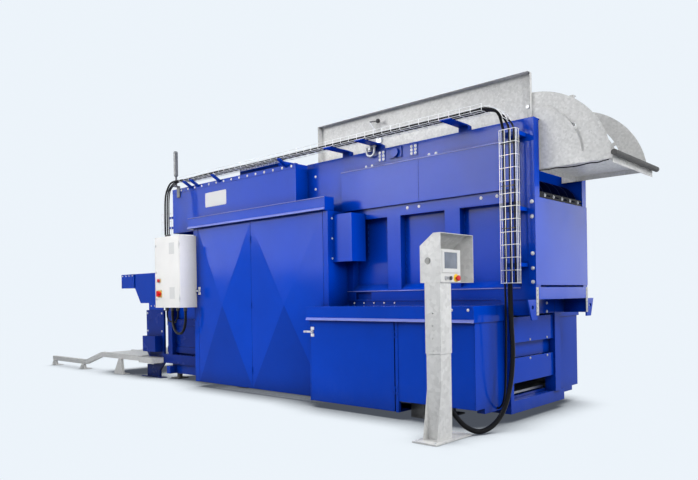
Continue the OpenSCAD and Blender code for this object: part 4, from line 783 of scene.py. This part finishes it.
for trayName, tray in trayRuns.items():
    wires = [wire for run, origin, columns in tray["runs"]
             for wire in turnParts(trayParts(traySet, run), origin, columns)]
    makePiece(trayName, wires, "wire", "machine", replaced=(tray["node"],))
print("trays made")

# Cables in the trays: a bundle that leaves the cabinet, lies in the tray and hangs down the upright tray
bundleSet = {"radii": (11.0, 9.0, 7.0), "across": (-46.0, 2.0, 40.0), "high": (-2.0, -3.0, -5.0)}


def bundleRoute(dy, dz):
    y, z, swing = -700 + dy, 2513 + dz, 0.3 * dy
    return [(-4665 + dy, -880, 1843), (-4665 + dy, -880, 2103), (-4665 + dy, -872, 2300),
            (-4658 + dy, -846, 2410), (-4634 + dy, -780 + dy / 2, 2496), (-4580, -708 + dy, 2519 + dz),
            (-4480, y, z), (-4400, y, z), (-3900, y + swing, z), (-3200, y - swing / 2, z), (-2430, y, z),
            (-1700, y + swing / 3, z), (-900, y, z), (-430, y, z), (-294, y, 2515 + dz),
            (-190, -704 + dy / 2, 2469 + dz), (-130 + dy, -674, 2361), (-118 + dy, -676, 2240),
            (-118 + dy * 1.05, -678, 1900), (-118 + dy * 0.95, -678, 1500), (-118 + dy, -678, 1130)]


bundle = [tubePart(evenPath(smoothPath(bundleRoute(dy, dz), 8), 30.0), r, 10)
          for r, dy, dz in zip(bundleSet["radii"], bundleSet["across"], bundleSet["high"])]
makePiece("trayCables", bundle, "sheath", "machine", replaced=("tray_cables",))
print("cables made")


# Bolts with washers: a low dome on a flat ring
def boltPart(d, axis):
    profile = [(0.0, 0.0), (0.66 * d, 0.0), (0.66 * d, 0.09 * d), (0.5 * d, 0.10 * d), (0.5 * d, 0.22 * d),
               (0.42 * d, 0.34 * d), (0.26 * d, 0.42 * d), (0.08 * d, 0.45 * d)]
    return lathePart(profile, (0, 0, 0), axis, 16)


def boltRow(d, axis, places):
    return copies(boltPart(d, axis), places)


front, rear, end, up = (0, -1, 0), (0, 1, 0), (1, 0, 0), (0, 0, 1)
flangePitch, returnHeights = (2305 - 120) / 15, (1774, 1656, 1365, 1248, 1140)
boltSet = {
    "topFlange": (20, front, [(-2620 - k * flangePitch, -673, 2414) for k in range(15)]),
    "frontReturn": (24, front, [(-22, -503, z) for z in returnHeights]),
    "rearReturn": (24, rear, [(-22, 503, z) for z in returnHeights]),
    "patches": (20, front, [(x + dx, -506, z) for x in (-1542, -1167) for dx in (-22, 22)
                            for z in (2340, 2372, 2404)]),
    "upperWall": (20, front, [(x, -500, 2300) for x in (-1743, -1667, -1001, -926)]),
    "wallEnd": (20, front, [(-2440, -500, z) for z in (2040, 2170, 2300)]),
    "topBeam": (20, front, [(x, -500, 1852) for x in (-1250, -1120, -480, -330)]),
    "junctionBox": (16, end, [(-2009, -713, z) for z in (1420, 1615, 1810)]),
    "combStrip": (22, end, [(-6, k * 160 + 10, 1841) for k in range(-2, 3)]),
    "underPanel": (20, end, [(-213, 130, z) for z in (964, 890)]),
    "lid": (18, front, [(-330 - k * 150, -968, 928) for k in range(3)]),
}
bolts = [bolt for row in boltSet.values() for bolt in boltRow(*row)]
makePiece("panelBolts", bolts, "zinc", "machine", replaced=("panel_bolts",))
print("bolts set")

# Control cabinet: switch plate, stop collar, blank plates and locks
cabinetSet = {"front": -1000.0, "switchX": -4660.0, "switchZ": 1116.0, "stopZ": 1276.0,
              "blankLows": (1055, 1588), "lockX": -4738, "lockHeights": (1050, 1375, 1700),
              "collar": [(25.5, 0), (25.5, 4.6), (23, 5.2), (13, 5.2)],
              "lock": [(13, 0), (13, 3), (11, 5), (7, 5.2), (6.5, 2.5), (1, 2.4)]}


def makeCabinet(s):
    y, x, z, stop = s["front"], s["switchX"], s["switchZ"], s["stopZ"]
    plate = [boxPart((x - 43, x + 43), (y - 5.2, y - 3.9), (z - 43, z + 43))]
    plate += [lathePart(s["collar"], (x, y, stop), front, 32)]
    makePiece("switchPlate", plate, "yellow", "cabinet_leaf")
    blanks = [boxPart((x + 215, x + 325), (y - 1.2, y), (low, low + 135)) for low in s["blankLows"]]
    makePiece("blankPlates", blanks, "panelGrey", "cabinet_leaf")
    locks = [lathePart(s["lock"], (s["lockX"], y, lockZ), front, 24) for lockZ in s["lockHeights"]]
    makePiece("cabinetLocks", locks, "zinc", "cabinet_leaf")


makeCabinet(cabinetSet)

# Inside of the cabinet: mounting plate, rails and ducts, and rows of plain devices
insideSet = {"x": (-4722.0, -4262.0), "z": (990.0, 1762.0), "plate": -702.0, "rows": (1640.0, 1430.0, 1200.0),
             "ducts": (1738.0, 1535.0, 1315.0, 1050.0), "wide": (72.0, 54.0, 36.0, 90.0, 54.0, 45.0),
             "tall": (110.0, 130.0, 84.0), "deep": (88.0, 120.0, 66.0)}


def makeInside(s):
    (x0, x1), (z0, z1), back = s["x"], s["z"], s["plate"]
    plate = [boxPart((x0, x1), (back, back + 3), (z0, z1))]
    plate += [boxPart((x0 + 20, x1 - 20), (back - 8, back), (z - 17, z + 17)) for z in s["rows"]]
    makePiece("mountingPlate", plate, "galvanised", "machine")
    ducts = [boxPart((x0 + 10, x1 - 10), (back - 60, back), (z - 20, z + 20)) for z in s["ducts"]]
    makePiece("cableDucts", ducts, "panelGrey", "machine")
    edges = x0 + 30 + np.r_[0, np.cumsum(s["wide"])]
    spans = list(zip(edges[:-1], edges[1:]))
    devices = []
    for z, tall, deep in zip(s["rows"], s["tall"], s["deep"]):
        rail, face = back - 8, back - 8 - deep
        body, nose = (z - tall / 2, z + tall / 2), (z - tall / 5, z + tall / 5)
        devices += [boxPart((a + 1, b - 1), (face, rail), body) for a, b in spans]
        devices += [boxPart((a + 6, b - 6), (face - 12, face), nose) for a, b in spans]
    makePiece("cabinetDevices", devices, "black", "machine")


makeInside(insideSet)
print("cabinet detailed")

# Pillar panel: dark screen in a bezel, rings and a yellow collar under it, and anchor nuts on the base plate
panelSet = {"face": -325.0, "low": 1142.0, "left": -1340.0}


def makePanel(s):
    x, y, z = s["face"], s["left"], s["low"]
    (y0, y1), (z0, z1) = (y + 48, y + 217), (z + 100, z + 220)
    left, right, low, high = y + 20, y + 245, z + 70, z + 232
    bezel = [boxPart((x, x + 5), across, tall) for across, tall in (
        ((left, right), (low, z0)), ((left, right), (z1, high)),
        ((left, y0), (z0, z1)), ((y1, right), (z0, z1)))]
    makePiece("screenBezel", bezel, "panelGrey", "pillar_top")
    makePiece("screen", [boxPart((x, x + 2), (y0, y1), (z0, z1))], "screen", "pillar_top")
    collar = lathePart([(32, 0), (32, 2), (20, 2.4)], (x, y + 205, z + 30), end, 32)
    makePiece("stopCollar", [collar], "yellow", "pillar_top")
    ring = [(17, 0), (17, 2), (15.5, 2.6), (15.4, 0.5)]
    rings = [lathePart(ring, (x, y + d, z + 30), end, 32) for d in (70, 125)]
    makePiece("buttonRings", rings, "zinc", "pillar_top")


makePanel(panelSet)
anchorSet = {"size": 16, "x": (-270, -420), "y": (-1515, -1110), "top": 10}
anchorPlaces = [(x, y, anchorSet["top"]) for x in anchorSet["x"] for y in anchorSet["y"]]
makePiece("anchorNuts", boltRow(anchorSet["size"], up, anchorPlaces), "zinc", "machine")
print("pillar detailed")

# Signal mast: ribbed lens column and domed cap on its stem
mastSet = {"place": (-4720.0, -710.0, 2470.0), "lens": (130.0, 420.0), "radius": 26.0, "ribs": 30, "rib": 0.8,
           "foot": [(13, 0), (13, 118), (24, 124), (26, 130)], "cap": [(26, 420), (22, 432), (10, 437.6)],
           "bracket": [((-4750, -4690), (-683, -673), (2330, 2470)),
                       ((-4750, -4690), (-742, -683), (2460, 2470))]}


def makeMast(s):
    low, high = s["lens"]
    steps = np.arange(s["ribs"])
    ribs = np.column_stack([s["radius"] + s["rib"] * (steps % 2), low + steps * (high - low) / s["ribs"]])
    column = lathePart([*s["foot"], *ribs, *s["cap"]], s["place"], up, 32)
    bracket = [boxPart(*block) for block in s["bracket"]]
    makePiece("signalMast", [column, *bracket], "mast", "machine", replaced=("signal_mast",))


makeMast(mastSet)
print("mast made")

# Latch plates: two halves on the sheet, above and below the hub that turns between them
latchSet = {"doorLatchPlate": {"x": (-4181, -4139), "y": (-775, -771), "z": ((1098, 1126), (1159, 1187)),
                               "body": "door"},
            "sideLatchPlate": {"x": (-2092, -2048), "y": (-943, -940), "z": ((672, 701), (735, 764)),
                               "body": "side_door"}}
for latchName, latch in latchSet.items():
    halves = [boxPart(latch["x"], latch["y"], z) for z in latch["z"]]
    makePiece(latchName, halves, "zinc", latch["body"])

# Turned hems: each sheet edge ends in a lip whose upper face slopes, in a paler blue that is a painted
# highlight
# A row gives both ends in x, then y, z, height and how far it stands out
hemSet = {"canopy": (-4338, -2021, -800, 1890, 26, 20), "lid": (-2120, -280, -968, 830, 24, 16),
          "coverLeft": (-2048, -1101, -530, 2274, 12, 6), "coverRight": (-1099, -136, -530, 2274, 12, 6),
          "canopyLine": (-4338, -2021, -800, 2012, 8, 8), "sill": (-2040, -130, -500, 1092, 8, 5)}
hems = [prismPart([(y, z), (y - out, z), (y - out, z + 2), (y, z + high)], x0, x1)
        for x0, x1, y, z, high, out in hemSet.values()]
makePiece("turnedHems", hems, "hemHighlightBlue", "machine", smooth=False)

# Stitch welds down the recess edges: short beads on an even pitch
weldSet = {"pitch": 62.0, "length": 34.0, "radius": 4.0, "swell": 0.12, "rings": 9, "y": -426.5,
           "lines": [(-1790, 1345, 1775), (-1328, 1150, 1760), (-690, 1150, 1760)]}


def makeWelds(s):
    n, beads = s["rings"], []
    along = np.linspace(0, s["length"], n)
    radius = s["radius"] * (1 + s["swell"] * np.cos(np.arange(n) * np.pi))
    for x, low, high in s["lines"]:
        beads += [tubePart(np.column_stack([np.full(n, x), np.full(n, s["y"]), z + along]), radius)
                  for z in np.arange(low, high, s["pitch"])]
    makePiece("stitchWelds", beads, "blue", "machine")


makeWelds(weldSet)

# Blank plate on the upper cabinet, with rivets in its corners
plateSet = {"x": (-4157.0, -3746.0), "z": (2144.0, 2315.0), "y": -670.0, "corner": 14.0, "thick": 2,
            "rivet": 10}


# The rim is four quarter circles joined by straight sides
def makePlate(s):
    (x0, x1), (z0, z1), y, corner = s["x"], s["z"], s["y"], s["corner"]
    turn = np.linspace(0, np.pi / 2, 6)
    (left, right), (low, high) = (x0 + corner, x1 - corner), (z0 + corner, z1 - corner)
    rim = np.vstack([np.column_stack([cx + corner * np.cos(turn + k * np.pi / 2),
                                      cz + corner * np.sin(turn + k * np.pi / 2)])
                     for k, (cx, cz) in enumerate(((right, high), (left, high), (left, low), (right, low)))])
    n, face = len(rim), y - s["thick"]
    points = np.vstack([np.column_stack([rim[:, 0], np.full(n, depth), rim[:, 1]]) for depth in (y, face)])
    faces = [[k, n + k, n + (k + 1) % n, (k + 1) % n] for k in range(n)]
    faces += [list(range(n)), list(range(n, 2 * n))[::-1]]
    makePiece("blankPlate", [(points, faces)], "panelGrey", "machine")
    rivets = boltRow(s["rivet"], front, [(x, face, z) for x in (left, right) for z in (low, high)])
    makePiece("plateRivets", rivets, "zinc", "machine")


makePlate(plateSet)

# Lifting shackle on the upper wall, and the sensor rod with a ball head beside it
shackleSet = {"x": -1655.0, "y": -512.0, "z": 2432.0, "bow": 48, "bar": 10, "pin": 9}
sensorSet = {"rod": [(-1640, -420, 2560), (-1645, -440, 2600), (-1680, -452, 2668), (-1722, -460, 2738)],
             "block": ((-1668, -1612), (-426, -403), (2530, 2586)), "ball": (-1617, -462, 2728),
             "ballRadius": 22, "arm": [(-1722, -460, 2738), (-1670, -461, 2733), (-1630, -462, 2729)]}


def makeShackle(s):
    x, y, z, bow = s["x"], s["y"] - 22, s["z"], s["bow"]
    parts = [torusPart((x, y, z), end, (0, 0, -1), bow, s["bar"], 24, 12, np.pi)]
    parts += [tubePart([(x + d, y, z), (x + d, y, z + 22), (x + d, y, z + 46)], s["bar"], 12)
              for d in (-bow, bow)]
    parts.append(tubePart([(x - 66, y, z + 42), (x, y, z + 42), (x + 66, y, z + 42)], s["pin"], 12))
    parts.append(boxPart((x - 16, x + 16), (y - 22, y + 34), (z + 8, z + 74)))
    makePiece("liftShackle", parts, "zinc", "machine")


def makeSensor(s):
    makePiece("sensorRod", [tubePart(s["rod"], 7, 10), boxPart(*s["block"])], "zinc", "machine")
    turn = np.linspace(-np.pi / 2, np.pi / 2, 14)
    radius = s["ballRadius"]
    profile = np.column_stack([np.maximum(radius * np.cos(turn), 0.4), radius * np.sin(turn)])
    head = [lathePart(profile, s["ball"], front, 20), tubePart(s["arm"], 6, 10)]
    makePiece("sensorHead", head, "black", "machine")


makeShackle(shackleSet)
makeSensor(sensorSet)

# Small bolts: lid rail, guard wall, boards at the intake end, gate plates and tying head
smallBoltSet = {
    "lidRail": (12, front, [(-1419 - k * 126, -500, 981) for k in range(6)]),
    "guardWall": (12, front, [(-90 - k * 260, -403, 2465) for k in range(9)]),
    "gateInner": (22, front, [(-5360, -555, z) for z in (260, 620, 860)]),
    "gateOuter": (22, front, [(-5720, -555, z) for z in (400, 620, 860)]),
    "tyingLow": (16, front, [(-5390 - k * 85, -540, 960) for k in range(4)]),
    "tyingHigh": (16, front, [(-6120 - k * 90, -555, 1390) for k in range(4)]),
    "boards": (16, end, [(-230, y, z) for y in (-160, 160) for z in (661, 502)]),
}
smallBolts = [bolt for row in smallBoltSet.values() for bolt in boltRow(*row)]
makePiece("smallBolts", smallBolts, "zinc", "machine")

# Cable ties: thin bands round the bundle, each with its locking head
tieSet = {"heights": (1230, 1560, 1890, 2220), "x": (-182.0, -66.0), "y": (-696.0, -660.0), "radius": 2.4}


def makeTies(s):
    (x0, x1), (y0, y1) = s["x"], s["y"]
    parts = []
    for z in s["heights"]:
        loop = [(x0, y0, z), (x1, y0, z), (x1, y1, z), (x0, y1, z), (x0, y0, z)]
        parts.append(tubePart(evenPath(np.array(loop, float), 12.0), s["radius"], 6))
        parts.append(boxPart((x1 - 20, x1 - 8), (y0 - 6, y0 + 1), (z - 5, z + 5)))
    makePiece("cableTies", parts, "black", "machine")


makeTies(tieSet)

# Bent mesh at the tray's corner: cross wires on an arc joined by three long wires
cornerSet = {"centre": (-300.0, 2330.0), "radius": 196.0, "from": 84.0, "to": 22.0, "wire": 2.6,
             "y": (-772.0, -706.0, -640.0)}


def makeCorner(s):
    cx, cz = s["centre"]
    angle = np.radians(np.linspace(s["from"], s["to"], 6))
    arc = np.column_stack([cx + s["radius"] * np.cos(angle), cz + s["radius"] * np.sin(angle)])
    parts = [tubePart([(x, y, z) for y in s["y"]], s["wire"], 6) for x, z in arc]
    parts += [tubePart(smoothPath(np.column_stack([arc[:, 0], np.full(6, y), arc[:, 1]]), 4), s["wire"], 6)
              for y in s["y"]]
    makePiece("trayCorner", parts, "wire", "machine")


makeCorner(cornerSet)
print("details made")
